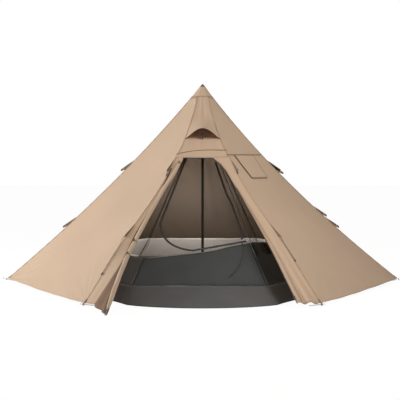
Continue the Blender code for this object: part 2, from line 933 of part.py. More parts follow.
def make_outer_zip():
    tube("door_zip", zip_path(), zip_radius, "zip_tape", sides=6)


def slab(name, centre, axes, lengths, widths, heights):
    """A metal block between two values along each of three axes from a centre."""
    along, side, lift = axes
    near, far = lengths
    left, right = widths
    corners = ((near, left), (far, left), (far, right), (near, right))
    outline = [centre + along * x + side * y + lift * heights[0] for x, y in corners]
    return prism(name, outline, lift * (heights[1] - heights[0]), "zip_metal")


def make_slider(name, centre, along, lift, under, chain_radius):
    """A zip slider over a chain, from a height under its middle up, with its pull."""
    axes = (along, lift.cross(along).normalized(), lift)
    half_length, half_width, half_height = slider_length / 2, slider_width / 2, slider_height / 2
    lengths, widths = (-half_length, half_length), (-half_width, half_width)
    body = slab(name, centre, axes, lengths, widths, (under, half_height))
    bore = bmesh.new()
    reach = along * (half_length + overrun)
    tube_into(bore, [centre - reach, centre + reach], [chain_radius + zip_gap] * 2, round_sides)
    boolean(body, as_cutter(piece_from(f"{name}_bore", bore, "zip_metal")), "DIFFERENCE")
    lengths, widths = (-pull_length, 0), (-pull_width / 2, pull_width / 2)
    heights = (half_height - pull_thickness / 2, half_height + pull_thickness / 2)
    pull = slab(f"{name}_pull", centre, axes, lengths, widths, heights)
    boolean(body, as_cutter(pull), "UNION")
    hang_on(body, f"{name}_joint", centre)
    return body, axes


def outer_slider_place():
    """Centre and direction of the outer slider, near the bottom of its chain."""
    path = zip_path()
    along = (path[1] - path[0]).normalized()
    return path[0] + along * (pull_length + slider_length), along


def make_outer_slider():
    """The outer slider, slotted for the right strip's cloth."""
    centre, along = outer_slider_place()
    lift = front_normal(centre.z)
    body, axes = make_slider("door_zip_slider", centre, along, lift, -slider_height / 2, zip_radius)
    reach = slider_length / 2 + overrun
    slot = cloth_thickness / 2 + zip_gap * 2
    side_reach = (-slider_width / 2 - overrun, 0)
    cut = slab("door_zip_slot", centre, axes, (-reach, reach), side_reach, (-slot, slot))
    boolean(body, as_cutter(cut), "DIFFERENCE")


# Inner tent
def inner_heights():
    """Heights at which the inner tent's ridges bend."""
    return [0.0, tray_height, band_height, inner_door_top, collar_height]


def inner_curve(name, height):
    share = height / inner_peak_height
    reach = inner_radius * (1 - share) - inner_dip * bump(share)
    angle = ridge_angle(name)
    point = Vector((reach * math.cos(angle), reach * math.sin(angle), height))
    if name in inner_pinch_shares:
        pinch = inner_radius * read_shares(inner_pinch_shares[name], share)
        point.x -= math.copysign(pinch, point.x)
    return point


def inner_ridge(name, height):
    rows = inner_heights()
    pairs = list(zip(rows, rows[1:]))
    low, high = next((pair for pair in pairs if height <= pair[1]), pairs[-1])
    return inner_curve(name, low).lerp(inner_curve(name, high), (height - low) / (high - low))


def inner_row(left, right, height, columns=4):
    start = inner_ridge(left, height)
    end = inner_ridge(right, height)
    along = (end - start).normalized()
    inset = (binding_radius + seat_gap) / seam_set_share
    return [(start + along * inset).lerp(end - along * inset, i / columns) for i in range(columns + 1)]


def tray_loop(height, bow, shrink):
    """The tray's outline at a height, with its front edge bowed forward."""
    loop = []
    for i, name in enumerate(ridge_names):
        start = inner_ridge(name, height)
        end = inner_ridge(ridge_names[(i + 1) % side_count], height)
        steps = 8 if name == "front_left" else 1
        for step in range(steps):
            point = start.lerp(end, step / steps)
            point.y -= bow * math.sin(math.pi * step / steps) ** tray_bow_power
            loop.append(point * (1 - shrink / inner_radius))
            loop[-1].z = height
    return loop


def make_tray():
    shape = bmesh.new()
    rim_height = tray_height - seat_gap
    lip = tray_thickness * tray_lip_share
    base = [shape.verts.new(point) for point in tray_loop(0.0, tray_bow, 0.0)]
    rim = [shape.verts.new(point) for point in tray_loop(rim_height, 0.0, 0.0)]
    inner_rim = [shape.verts.new(point) for point in tray_loop(rim_height, 0.0, lip)]
    floor_points = tray_loop(0.0, tray_bow, tray_thickness * tray_foot_share)
    for point in floor_points:
        point.z = tray_thickness
    floor = [shape.verts.new(point) for point in floor_points]
    shape.faces.new(base)
    grid_faces(shape, [base, rim, inner_rim, floor], closed=True)
    shape.faces.new(floor)
    piece_from("groundsheet_tray", shape, "groundsheet")


def make_bands():
    heights = (tray_height + band_set, band_height - seat_gap)
    for i, left in enumerate(ridge_names):
        right = ridge_names[(i + 1) % side_count]
        rows = [inner_row(left, right, height) for height in heights]
        sheet(f"inner_band_{inner_side_names[i]}", rows, tray_thickness, "grey_cloth")


def net_rows(left, right):
    low = inner_row(left, right, band_height)
    middle = inner_row(left, right, inner_door_top)
    top = inner_row(left, right, collar_height - ring_wire * net_drop_share)
    return [low, middle, top]


def make_nets():
    for i, left in enumerate(ridge_names):
        right = ridge_names[(i + 1) % side_count]
        name = f"inner_net_{inner_side_names[i]}"
        if left != "front_left":
            sheet(name, net_rows(left, right), net_thickness, "net")


def inner_door_height(share):
    return band_height + (inner_door_top - band_height) * share


def inner_door_side(name, height):
    """How far the door's straight side by a ridge lies from the middle at a height."""
    inset = (binding_radius + seat_gap) / seam_set_share
    return abs(inner_ridge(name, height).x) - inset - binding_radius * inner_door_margin_share


def door_outline():
    """Corners of the inner door on the front net, as places across the net and heights."""
    bottom = inner_door_height(inner_door_right_share)
    top = inner_door_height(inner_door_top_share)
    left = inner_door_height(inner_door_left_share)
    places = [(inner_door_side("front_right", height), height) for height in (bottom, top)]
    places += [(-inner_door_side("front_left", height), height) for height in (top, left)]
    start = Vector(places[-1])
    foot = inner_door_height(inner_door_foot_share)
    end = Vector((inner_door_side("front_right", bottom) * inner_door_foot_width_share, foot))
    across_share, up_share = inner_door_turn_shares
    turn = Vector((start.x + (end.x - start.x) * across_share, end.y + (start.y - end.y) * up_share))
    for i in range(1, 8):
        share = i / 8
        point = start * (1 - share) ** 2 + turn * 2 * share * (1 - share) + end * share**2
        places.append((point.x, point.y))
    places.append((end.x, end.y))
    return places


def inner_face(x, height):
    """A point of the inner tent's front."""
    return Vector((x, inner_ridge("front_right", height).y, height))


def inner_face_normal():
    rise = inner_face(0, inner_door_top) - inner_face(0, band_height)
    return Vector((1, 0, 0)).cross(rise).normalized()


def drawn_in(outline, margins):
    """The outline with each edge moved inwards by its own margin, in the plane of the net."""
    normal = inner_face_normal()
    points = [inner_face(x, height) for x, height in outline]
    count = len(points)
    middle = sum(points, Vector()) / count
    lines = []
    for i in range(count):
        start, end = points[i], points[(i + 1) % count]
        along = (end - start).normalized()
        side = normal.cross(along)
        if side.dot(middle - start) < 0:
            side.negate()
        lines.append((start + side * margins[i], along))
    return [crossing(lines[i - 1], lines[i]) for i in range(count)]


def crossing(first, second):
    """Where two lines of one plane meet."""
    start, along = first
    other, direction = second
    gap = other - start
    cross = along.cross(direction)
    return start + along * (gap.cross(direction).dot(cross) / cross.length_squared)


def inner_door_margins(hinge, others):
    """Margins of the outline's edges: the first is the hinge's."""
    return [hinge] + [others] * (len(door_outline()) - 1)


def inner_door_corners():
    """Corners of the door's back face: the first two are on its hinge."""
    margins = inner_door_margins(inner_hinge_gap, door_gap)
    depth = inner_face_normal() * net_thickness
    return [point - depth for point in drawn_in(door_outline(), margins)]


def make_front_net():
    """The front net with the door's opening, and the door in it."""
    normal = inner_face_normal()
    net = sheet("inner_net_front", net_rows("front_left", "front_right"), net_thickness, "net")
    opening = drawn_in(door_outline(), inner_door_margins(0.0, 0.0))
    behind = [point - normal * overrun for point in opening]
    cut = prism("inner_door_opening", behind, normal * overrun * 2, "net")
    boolean(net, as_cutter(cut), "DIFFERENCE")
    corners = inner_door_corners()
    door = prism("inner_door", corners, normal * net_thickness, "net")
    hang_on(door, "inner_door_joint", corners[0])


def inner_zip_path():
    """The chain in the gap between the door and the net, from the door's top round to its hinge."""
    middle = drawn_in(door_outline(), inner_door_margins(door_gap / 2, door_gap / 2))
    back = inner_face_normal() * (net_thickness / 2)
    path = middle[2:] + [middle[0]]
    step = (path[-1] - path[-2]).normalized() * door_gap
    path[-1] = path[-1] - step
    return [point - back for point in path]


def make_inner_zip():
    tube("inner_zip", inner_zip_path(), inner_zip_radius, "zip_tape", sides=6)


def inner_slider_place():
    """Centre and direction of the inner slider, at the top of the chain's straight left side."""
    path = inner_zip_path()
    along = (path[1] - path[0]).normalized()
    return path[0] + along * (pull_length + slider_length), along


def make_inner_slider():
    """The inner slider rides on the chain's front, clear of the net and the door."""
    centre, along = inner_slider_place()
    under = net_thickness / 2 + zip_gap * 3
    make_slider("inner_zip_slider", centre, along, inner_face_normal(), under, inner_zip_radius)


def webbing_into(piece, name, path):
    """Join a run of webbing to the inner tent's binding."""
    line = bmesh.new()
    tube_into(line, path, [binding_radius] * len(path), 6)
    boolean(piece, as_cutter(piece_from(name, line, "dark_webbing")), "UNION")


def make_inner_webbing():
    """The binding on the inner ridges, joined by the collar round the pole and hung from the cap."""
    shape = bmesh.new()
    centre = Vector((0, 0, collar_height))
    reach = inner_ridge("right", collar_height).x
    hoop_into(shape, centre, Vector((0, 0, 1)), reach, ring_wire * collar_girth_share, count=turned_sides)
    piece = piece_from("inner_webbing", shape, "dark_webbing")
    for name in ridge_names:
        path = [inner_ridge(name, height) for height in inner_heights()[1:]]
        path[0] = path[0].lerp(path[1], binding_start_share)
        webbing_into(piece, f"binding_{name}", path)
    inset = cloth_thickness * cap_wall_share * 2 + binding_radius
    for name in ("right", "left"):
        low = inner_ridge(name, collar_height)
        high = ridge_curve(name, cap_seam_height) - outward(name) * inset
        webbing_into(piece, f"strap_{name}", [low, high])


# Pole
def pole_levels():
    base = tray_thickness + seat_gap + foot_floor + seat_gap
    top = cap_flat_height - cloth_thickness - plug_head - seat_gap * 2
    return base, top


def make_pole():
    base, top = pole_levels()
    joints = [base + (top - base) * share for share in pole_joint_shares]
    bore = pole_radius - pole_wall
    spigot = bore - pole_fit
    levels = [base] + joints + [top]
    for i, name in enumerate(("pole_lower", "pole_middle", "pole_upper")):
        low, high = levels[i], levels[i + 1] - seat_gap
        profile = [(pole_radius, high), (bore, high)]
        if i == 0:
            profile += [(bore, low), (pole_radius, low)]
        else:
            narrow = spigot - pole_wall
            end = low - pole_spigot
            profile += [(bore, low + pole_wall * 4), (narrow, low), (narrow, end), (spigot, end)]
            profile += [(spigot, low - pole_wall), (spigot, low), (pole_radius, low)]
        turned(name, profile, "pole_steel")
    make_pole_foot()
    make_pole_plug(top, bore)


def make_pole_foot():
    low = tray_thickness + seat_gap
    bore = pole_radius + seat_gap
    profile = [(0, low + foot_floor), (bore, low + foot_floor), (bore, low + foot_height)]
    profile += [(pole_radius + pole_wall * 2, low + foot_height), (foot_radius, low + foot_floor * 2)]
    profile += [(foot_radius, low), (0, low)]
    turned("pole_foot", profile, "rubber")


def make_pole_plug(top, bore):
    """The rounded plug in the pole's top end, under the cap."""
    stem = bore - pole_fit
    profile = [(0, top - pole_spigot / 2), (stem, top - pole_spigot / 2), (stem, top)]
    profile += [(pole_radius * reach, top + plug_head * rise) for reach, rise in plug_shares]
    turned("pole_plug", profile, "rubber")


def main():
    clear_scene()
    make_cap()
    make_cap_tip()
    make_side_panels()
    make_strips()
    make_front_panels()
    make_hood()
    make_vent_mesh()
    make_vent_prop()
    axes = jack_frame_axes()
    make_stove_panel(axes)
    make_stove_patch(axes)
    make_stove_flap(axes)
    for name in ridge_names:
        make_seam(name)
        make_peg(name)
    make_roll()
    for name, share in tie_shares.items():
        make_tie(name, share)
    make_outer_zip()
    make_outer_slider()
    make_tray()
    make_bands()
    make_nets()
    make_front_net()
    make_inner_zip()
    make_inner_slider()
    make_inner_webbing()
    make_pole()


main()
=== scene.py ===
"""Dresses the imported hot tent: canvas, net, webbing, cords and pole, in a plain pale studio."""

import math

import bmesh
import bpy
from mathutils import Matrix, Vector, noise


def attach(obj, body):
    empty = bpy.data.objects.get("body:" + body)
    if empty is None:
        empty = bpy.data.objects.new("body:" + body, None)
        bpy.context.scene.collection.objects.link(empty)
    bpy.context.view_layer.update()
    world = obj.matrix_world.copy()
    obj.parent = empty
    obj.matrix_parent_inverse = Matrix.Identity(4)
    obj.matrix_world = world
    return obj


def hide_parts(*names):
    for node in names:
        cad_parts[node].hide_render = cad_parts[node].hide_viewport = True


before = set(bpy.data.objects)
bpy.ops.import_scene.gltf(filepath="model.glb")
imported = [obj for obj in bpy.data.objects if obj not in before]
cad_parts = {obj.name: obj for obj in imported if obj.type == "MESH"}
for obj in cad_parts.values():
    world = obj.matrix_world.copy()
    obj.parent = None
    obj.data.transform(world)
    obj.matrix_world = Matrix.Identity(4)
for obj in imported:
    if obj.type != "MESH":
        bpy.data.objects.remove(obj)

bl_info = {
    "name": "Hot Tent",
    "version": (1, 0, 0),
    "blender": (4, 5, 0),
    "location": "View3D > Sidebar > Tent",
    "description": "Makes the cloth, net, cords and fittings of a pyramid hot tent",
    "category": "Add Mesh",
}

# The canopy's lines, in metres, as in the solids: how far each ridge hangs in at its middle
ridge_dips = {
    "right": 0.130,
    "back_right": 0.110,
    "back_left": 0.110,
    "left": 0.090,
    "front_left": 0.100,
    "front_right": 0.100,
}
ridge_names = list(ridge_dips)
corner_radius = 2.0
hem_height = 0.05
peak_height = 2.04
cap_seam_height = 1.905
cap_flat_height = 2.01
cap_tip_radius = 0.028
panel_dip = 0.02
hem_droop = 0.02
front_pinch = 0.075
door_top = 1.285
sill_height = 1.467
hood_top = 1.72
hood_reach = 0.095
hood_rise = 0.100
left_edge_shares = (
    (0.0, 0.91), (0.28, 0.865), (0.36, 0.835), (0.50, 0.845), (0.66, 0.870), (0.80, 0.855), (0.90, 0.80),
    (1.0, 0.74),
)
right_edge_shares = (
    (0.0, 0.80), (0.66, 0.81), (0.74, 0.80), (0.82, 0.76), (0.90, 0.70), (0.955, 0.58), (1.0, 0.36),
)
# How much further the hood's cloth draws the front ridges in, by height
hood_pinches = ((1.28, 0.0), (1.368, 0.020), (1.467, 0.028), (1.6, 0.033), (1.775, 0.026), (1.905, 0.0))
guy_heights = (1.215, 0.635)
spare_guy_heights = (1.185, 0.75)
# A guy loop: half its height on the ridge, its reach out and down, and its eyelet's place towards the tip
guy_half = 0.0425
guy_reach = 0.095
guy_drop = 0.060
eyelet_share = 0.68
# How far the cloth stops under the seam over it and beside the seams at its sides, and its depth in the solids
seam_gap = 0.0003
seam_inset = 0.002
cloth_inset = 0.0015
# The folds that fan out of each corner of a side: how many, and how far they reach
corner_folds = 8
corner_fold_reach = 0.34
# Outward from the front, for tapes and zips, and from the inner tent's front
front_out = Vector((0, -0.72, 0.69))
inner_out = Vector((0, -0.7815, 0.6239))
band_out = Vector((0, -0.8, 0.6))
# The nets' thickness, and how far they stop under the collar
net_wall = 0.0008
collar_gap = 0.009

# Inner tent
inner_radius = 1.65
inner_peak = 1.82
inner_dip = 0.14
tray_height = 0.15
rim_height = 0.137
tray_bow = 0.33
tray_bow_power = 0.5
band_height = 0.38
inner_door_top = 1.35
collar_height = 1.755
# How far the inner front ridges stand in towards the door, by height
inner_pinches = {
    "front_right": ((0.0, 0.1007), (0.15, 0.1550), (0.38, 0.1205), (1.35, 0.0347), (1.755, 0.0)),
    "front_left": ((0.0, 0.0908), (0.15, 0.1007), (0.38, 0.0743), (1.35, 0.0), (1.755, 0.0)),
}
inner_sides = ("right_back", "back", "left_back", "left_front", "front", "right_front")
# The inner door's left and right edges, as places across and heights
inner_door_left = (
    (-0.0920, 0.4236), (-0.1627, 0.4340), (-0.2242, 0.4502), (-0.2765, 0.4723), (-0.3195, 0.5003),
    (-0.3533, 0.5342), (-0.3779, 0.5739), (-0.3933, 0.6195), (-0.3995, 0.6710), (-0.1497, 1.3209),
)
inner_door_right = ((-0.0920, 0.4236), (0.4181, 0.5061), (0.1147, 1.3209))
# The dark tape down the door's right side
door_side_line = (
    (0.127, 1.235), (0.2246, 0.946), (0.276, 0.84), (0.307, 0.745), (0.3435, 0.645), (0.3607, 0.575),
    (0.366, 0.522),
)

# The stove flap's top middle, and its across, down and outward directions
jack_origin = Vector((0.3861, -0.3580, 1.3057))
jack_across = Vector((0.5376, 0.8432, 0.0))
jack_down = Vector((0.5330, -0.3399, -0.7748))
jack_out = Vector((0.6533, -0.4166, 0.6322))
jack_width = 0.335
jack_length = 0.285
pipe_hole_radius = 0.062
pipe_clearance = 0.085

# The rolled door's middle line and its radius. Like the two zips and the inner door's edges, this line repeats
# places that the solids' source works out, rounded to a tenth of a millimetre.
roll_line = (
    ((-0.1967, -0.6053, 1.2770), 0.0116), ((-0.2336, -0.6696, 1.2102), 0.0174),
    ((-0.2817, -0.7469, 1.1214), 0.0190), ((-0.3472, -0.8374, 1.0198), 0.0205),
    ((-0.4181, -0.9508, 0.8916), 0.0206), ((-0.4882, -1.0687, 0.7634), 0.0207),
    ((-0.5542, -1.1883, 0.6353), 0.0209), ((-0.6043, -1.2865, 0.5326), 0.0210),
    ((-0.6494, -1.3734, 0.4430), 0.0211), ((-0.6729, -1.5066, 0.3773), 0.0215),
    ((-0.6964, -1.6398, 0.3066), 0.0215), ((-0.7212, -1.7804, 0.2265), 0.0215),
    ((-0.7473, -1.9284, 0.1361), 0.0215), ((-0.7695, -2.0542, 0.0545), 0.0142),
    ((-0.7800, -2.1134, 0.0145), 0.0107),
)
roll_tie_places = (0.70, 6.944, 8.246)
# Where the dark slit between the left strip and the roll lies, by height, as shares of the front's half; a dark
# tape there paints the slit's shadow
slit_shares = (
    (0.40, 0.862), (0.43, 0.865), (0.617, 0.897), (0.745, 0.905), (0.874, 0.915), (1.0, 0.935),
    (1.105, 0.955), (1.195, 0.96),
)
outer_zip_line = (
    (0.7959, -1.7271, 0.0521), (0.7023, -1.5200, 0.2538), (0.6074, -1.3161, 0.4596),
    (0.4994, -1.1197, 0.6654), (0.4012, -0.9538, 0.8459), (0.3454, -0.8622, 0.9487),
    (0.2645, -0.7490, 1.0770), (0.2239, -0.6837, 1.1542), (0.1668, -0.6241, 1.2245),
    (0.0956, -0.5768, 1.2804), (-0.1863, -0.5768, 1.2804),
)
inner_zip_line = (
    (-0.1468, -0.3010, 1.3172), (-0.3955, -0.8176, 0.6701), (-0.3895, -0.8581, 0.6194),
    (-0.3743, -0.8940, 0.5744), (-0.3500, -0.9253, 0.5352), (-0.3167, -0.9519, 0.5018),
    (-0.2743, -0.9739, 0.4743), (-0.2226, -0.9914, 0.4524), (-0.1617, -1.0042, 0.4363),
    (-0.0920, -1.0124, 0.4261), (0.4056, -0.9482, 0.5066),
)
# Where the grey band's slack top edge runs across the front, as places across and heights
band_edge_line = (
    (0.0, 0.362), (0.15, 0.375), (0.35, 0.394), (0.55, 0.417), (0.66, 0.436), (0.76, 0.458), (0.88, 0.478),
    (1.0, 0.496),
)
# The curved seam on the grey band's right
band_seam_line = (
    (0.362, 0.490), (0.374, 0.449), (0.362, 0.375), (0.330, 0.303), (0.285, 0.245), (0.2317, 0.204),
)


def linear(code):
    """The linear colour of an sRGB hex value."""
    parts = [int(code[i : i + 2], 16) / 255 for i in (1, 3, 5)]
    return [part / 12.92 if part <= 0.04045 else ((part + 0.055) / 1.055) ** 2.4 for part in parts]


# Settings
def colour_property(name, code, description):
    return bpy.props.FloatVectorProperty(
        name=name, description=description, subtype="COLOR", size=3, min=0.0, max=1.0, default=linear(code)
    )


def length_property(name, default, description):
    return bpy.props.FloatProperty(
        name=name, description=description, default=default, min=0.0, unit="LENGTH", subtype="DISTANCE"
    )


class TentSizes(bpy.types.PropertyGroup):
    cloth_thickness: length_property("Cloth thickness", 0.0012, "Thickness of the canvas as drawn")
    fold_depth: length_property("Fold depth", 0.007, "Depth of the folds that fan out from the corners")
    slack_depth: length_property("Slack depth", 0.004, "Depth of the broad waves in the panels")
    seam_width: length_property("Seam width", 0.016, "Width of the felled seams on the ridges")
    inner_tape_width: length_property("Inner tape width", 0.016, "Width of the tapes on the inner tent")
    zip_tape_width: length_property("Zip tape width", 0.020, "Width of the inner door's zip tape")
    piping_radius: length_property("Piping radius", 0.0045, "Radius of the stove flap's edge piping")
    cord_diameter: length_property("Cord diameter", 0.004, "Diameter of the guy cords")


class TentColours(bpy.types.PropertyGroup):
    canvas: colour_property("Canvas", "#c9af95", "Poly-cotton of the canopy")
    seam: colour_property("Seams", "#b2977d", "Felled seams and edge tapes")
    webbing: colour_property("Webbing", "#75634f", "Guy loops and corner straps")
    net: colour_property("Net", "#3a342f", "Netting of the inner tent and the vent")
    band: colour_property("Band", "#444645", "Cloth bands of the inner tent's front")
    back_band: colour_property("Back band", "#e6dbcf", "Cloth bands of the inner tent's back")
    floor: colour_property("Groundsheet", "#5f5f5e", "Coated floor of the inner tent")
    zips: colour_property("Zips", "#2b2a29", "Zip tapes, coils and sliders")
    pole: colour_property("Pole", "#33312f", "Coated steel pole")


# Materials
def add_node(tree, kind, settings=None, values=None, links=None):
    """Add a node with its settings, the values of its sockets and what feeds them."""
    made = tree.nodes.new(kind)
    for key, value in (settings or {}).items():
        setattr(made, key, value)
    for key, value in (values or {}).items():
        made.inputs[key].default_value = value
    for key, source in (links or {}).items():
        tree.links.new(source, made.inputs[key])
    return made


def start_material(name, colour, roughness, metallic=0.0):
    """A new material with its shader's plain values."""
    material = bpy.data.materials.new(name)
    material.use_nodes = True
    shader = material.node_tree.nodes["Principled BSDF"]
    shader.inputs["Base Color"].default_value = (*colour, 1.0)
    shader.inputs["Roughness"].default_value = roughness
    shader.inputs["Metallic"].default_value = metallic
    material.diffuse_color = (*colour, 1.0)
    return material, material.node_tree, shader


def maths(tree, operation, a, b=0.0):
    """The outcome of a sum on two sockets or numbers."""
    made = add_node(tree, "ShaderNodeMath", {"operation": operation})
    for socket, source in zip(made.inputs, (a, b)):
        if isinstance(source, float):
            socket.default_value = source
        else:
            tree.links.new(source, socket)
    return made.outputs[0]


def shade(colour, factor):
    return (*[min(part * factor, 1.0) for part in colour], 1.0)


def mottle(tree, shader, colour, scale, low, high):
    """Cloudy colour between two shades of one colour; the scale is in clouds per metre."""
    place = add_node(tree, "ShaderNodeTexCoord")
    values = {"Scale": scale, "Detail": 3.0}
    clouds = add_node(tree, "ShaderNodeTexNoise", values=values, links={"Vector": place.outputs["Object"]})
    ramp = add_node(tree, "ShaderNodeValToRGB", links={"Fac": clouds.outputs["Fac"]})
    for element, position, factor in zip(ramp.color_ramp.elements, (0.3, 0.7), (low, high)):
        element.position = position
        element.color = shade(colour, factor)
    tree.links.new(ramp.outputs["Color"], shader.inputs["Base Color"])
    return place, ramp


def weave(tree, place, spacing, coordinates):
    """Crossed threads, one wave each way; the spacing is in metres."""
    values = {"Scale": math.tau / (20 * spacing), "Distortion": 0.4, "Detail": 1.0}
    links = {"Vector": place.outputs[coordinates]}
    waves = [add_node(tree, "ShaderNodeTexWave", {"bands_direction": way}, values, links) for way in ("X", "Y")]
    return maths(tree, "ADD", waves[0].outputs["Fac"], waves[1].outputs["Fac"])


def bump(tree, shader, height, strength, distance):
    values = {"Strength": strength, "Distance": distance}
    raised = add_node(tree, "ShaderNodeBump", values=values, links={"Height": height})
    tree.links.new(raised.outputs["Normal"], shader.inputs["Normal"])


def stitched(tree, ramp, shader, colour, offset, width):
    """Darken lines of stitches that run along a cloth's edges, at an offset from them."""
    edge = add_node(tree, "ShaderNodeAttribute", {"attribute_name": "edge"})
    near = maths(tree, "ABSOLUTE", maths(tree, "SUBTRACT", edge.outputs["Fac"], offset))
    links = {0: maths(tree, "LESS_THAN", near, width), 6: ramp.outputs["Color"]}
    mixed = add_node(tree, "ShaderNodeMix", {"data_type": "RGBA"}, {7: shade(colour, 0.72)}, links)
    tree.links.new(mixed.outputs[2], shader.inputs["Base Color"])


def woven(name, colour, roughness, clouds, spacing, relief, gloss=0.5, coordinates="Object"):
    """A cloudy woven material: its clouds' scale and shades, its threads' spacing and their relief."""
    material, tree, shader = start_material(name, colour, roughness)
    place, ramp = mottle(tree, shader, colour, *clouds)
    bump(tree, shader, weave(tree, place, spacing, coordinates), *relief)
    shader.inputs["Specular IOR Level"].default_value = gloss
    return material, tree, shader, ramp


def canvas_material(name, colour):
    # Coated poly-cotton, woven and dyed: matt, with slight cloudy fading and stitch lines by its seams.
    # Real threads are 0.5 mm apart; they are drawn 4 mm apart so that they show close up.
    clouds, relief = (1.6, 0.95, 1.04), (0.12, 0.0004)
    material, tree, shader, ramp = woven(name, colour, 0.82, clouds, 0.004, relief, 0.25, "UV")
    stitched(tree, ramp, shader, colour, 0.011, 0.0012)
    shader.inputs["Sheen Weight"].default_value = 0.08
    shader.inputs["Sheen Roughness"].default_value = 0.6
    return material


def seam_material(name, colour):
    # Felled seams and bias tape: the canopy's cloth folded over, drawn a little darker than the canvas, with
    # cloudy variation.
    return woven(name, colour, 0.85, (9.0, 0.86, 1.12), 0.003, (0.25, 0.0005), 0.2, "UV")[0]


def webbing_material(name, colour):
    # Woven polypropylene webbing: close cross ribs, a little gloss on their tops.
    # Real ribs are 1 mm apart; they are drawn 3 mm apart so that they show close up.
    return woven(name, colour, 0.62, (14.0, 0.8, 1.2), 0.003, (0.5, 0.0006))[0]


def net_material(name, colour, cover):
    # Polyester netting: the holes are 1 mm, far too fine to draw, so the cloth lets part of the light through.
    material, tree, shader, ramp = woven(name, colour, 0.9, (2.2, 0.85, 1.15), 0.006, (0.05, 0.0002), 0.1, "UV")
    shader.inputs["Alpha"].default_value = cover
    return material


def band_material(name, colour, low=0.9, high=1.1):
    # Taffeta of the inner tent: a fine plain weave with a dull gloss and soft creases.
    material, tree, shader = start_material(name, colour, 0.7)
    place, ramp = mottle(tree, shader, colour, 3.0, low, high)
    values = {"Scale": 7.0, "Detail": 4.0, "Distortion": 0.8}
    creases = add_node(tree, "ShaderNodeTexNoise", values=values, links={"Vector": place.outputs["Object"]})
    bump(tree, shader, creases.outputs["Fac"], 0.3, 0.006)
    shader.inputs["Specular IOR Level"].default_value = 0.3
    return material


def fireproof_material(name, colour):
    # Woven glass cloth with a grey coating: a coarse basket weave, dull.
    return woven(name, colour, 0.9, (20.0, 0.85, 1.1), 0.004, (0.6, 0.0006), coordinates="UV")[0]


def metal_material(name, colour, roughness, grain):
    # Coated or drawn steel: fine marks along the tube from drawing, a dull reflection.
    material, tree, shader = start_material(name, colour, roughness, 1.0)
    place, ramp = mottle(tree, shader, colour, grain, 0.85, 1.12)
    values = {"Scale": 60.0, "Detail": 2.0}
    rub = add_node(tree, "ShaderNodeTexNoise", values=values, links={"Vector": place.outputs["Object"]})
    values = {"To Min": roughness - 0.08, "To Max": roughness + 0.12}
    spread = add_node(tree, "ShaderNodeMapRange", values=values, links={"Value": rub.outputs["Fac"]})
    tree.links.new(spread.outputs["Result"], shader.inputs["Roughness"])
    return material


def moulded_material(name, colour, roughness):
    # Moulded nylon or rubber: a fine even grain from the mould and slightly rubbed edges.
    material, tree, shader = start_material(name, colour, roughness)
    place, ramp = mottle(tree, shader, colour, 30.0, 0.88, 1.12)
    links = {"Vector": place.outputs["Object"]}
    grain = add_node(tree, "ShaderNodeTexNoise", values={"Scale": 900.0}, links=links)
    bump(tree, shader, grain.outputs["Fac"], 0.2, 0.0002)
    return material


def coil_material(name, colour):
    # Nylon coil zip: a row of close loops; they are 1 mm apart and drawn 4 mm apart so that they show.
    return woven(name, colour, 0.5, (40.0, 0.8, 1.3), 0.004, (0.7, 0.0008))[0]


def cord_material(name, colour):
    # Braided polyester cord: two strands that cross in a fine diamond pattern.
    return woven(name, colour, 0.7, (60.0, 0.7, 1.4), 0.003, (0.6, 0.0005))[0]


# Each kind's maker, its material's name, its colour as a hex value or a setting, and the maker's other values
makers = {
    "canvas": (canvas_material, "poly_cotton_canvas", "canvas"),
    "seam": (seam_material, "folded_seam_tape", "seam"),
    # The slack web is canvas in a deep fold; its dark brown is painted shade
    "lining": (band_material, "door_lining", "#7a604b", 0.85, 1.1),
    # The hood's edge binding, dark brown as painted shade under the hood's rim
    "edge_tape": (webbing_material, "bound_door_edge", "#6b523f"),
    "webbing": (webbing_material, "woven_webbing", "webbing"),
    "topstitch": (webbing_material, "dark_topstitching", "#8b7058"),
    # Dark brown for the painted shadows of the slit and the fold beside the roll, and for the binding at the
    # roll's foot
    "painted_shadow_and_binding": (webbing_material, "shaded_roll_edge", "#46352a"),
    "inner_tape": (webbing_material, "inner_tent_tape", "#272421"),
    "piping": (webbing_material, "light_grey_piping", "#7d7c75"),
    "net": (net_material, "inner_tent_netting", "net", 0.31),
    # The vent's netting is drawn light tan, far lighter than the inner tent's netting: painted light in the
    # shade under the hood
    "vent_net": (net_material, "vent_netting", "#a8866d", 0.9),
    "band": (band_material, "grey_taffeta", "band"),
    # The left front band is drawn a lighter grey than the other bands: painted light, since the lamps leave its
    # outer face dark
    "side_band": (band_material, "light_grey_taffeta", "#686b6d"),
    "back_band": (band_material, "pale_taffeta", "back_band", 0.95, 1.05),
    "floor": (band_material, "coated_groundsheet", "floor", 0.92, 1.08),
    "fireproof": (fireproof_material, "woven_glass_cloth", "#a19b92"),
    "pole": (metal_material, "coated_steel_tube", "pole", 0.42, 12.0),
    "peg": (metal_material, "drawn_steel_wire", "#dededb", 0.35, 30.0),
    "slider": (metal_material, "black_zinc_slider", "#3a3a3a", 0.4, 90.0),
    "rubber": (moulded_material, "moulded_rubber", "#262524", 0.75),
    "plastic": (moulded_material, "moulded_nylon", "#2c221b", 0.6),
    "tip": (moulded_material, "welded_tip_patch", "#4f4a46", 0.7),
    "wood": (moulded_material, "stained_beech_toggle", "#4a3423", 0.6),
    "coil": (coil_material, "nylon_coil_zip", "zips"),
    "cord": (cord_material, "braided_polyester_cord", "#43362b"),
}
made_materials = {}


def material(kind):
    """The material of a kind, made the first time it is asked for."""
    if kind not in made_materials:
        maker, name, colour, *values = makers[kind]
        setting = getattr(bpy.context.scene.tent_colours, colour, None)
        made_materials[kind] = maker(name, linear(colour) if setting is None else setting, *values)
    return made_materials[kind]


# Lines of the tent
def clamp(value, low=0.0, high=1.0):
    return min(max(value, low), high)


def arch(share):
    """Nought at both ends and one in the middle."""
    return 4 * share * (1 - share)


def outward(name):
    angle = math.tau * ridge_names.index(name) / len(ridge_names)
    return Vector((math.cos(angle), math.sin(angle), 0))


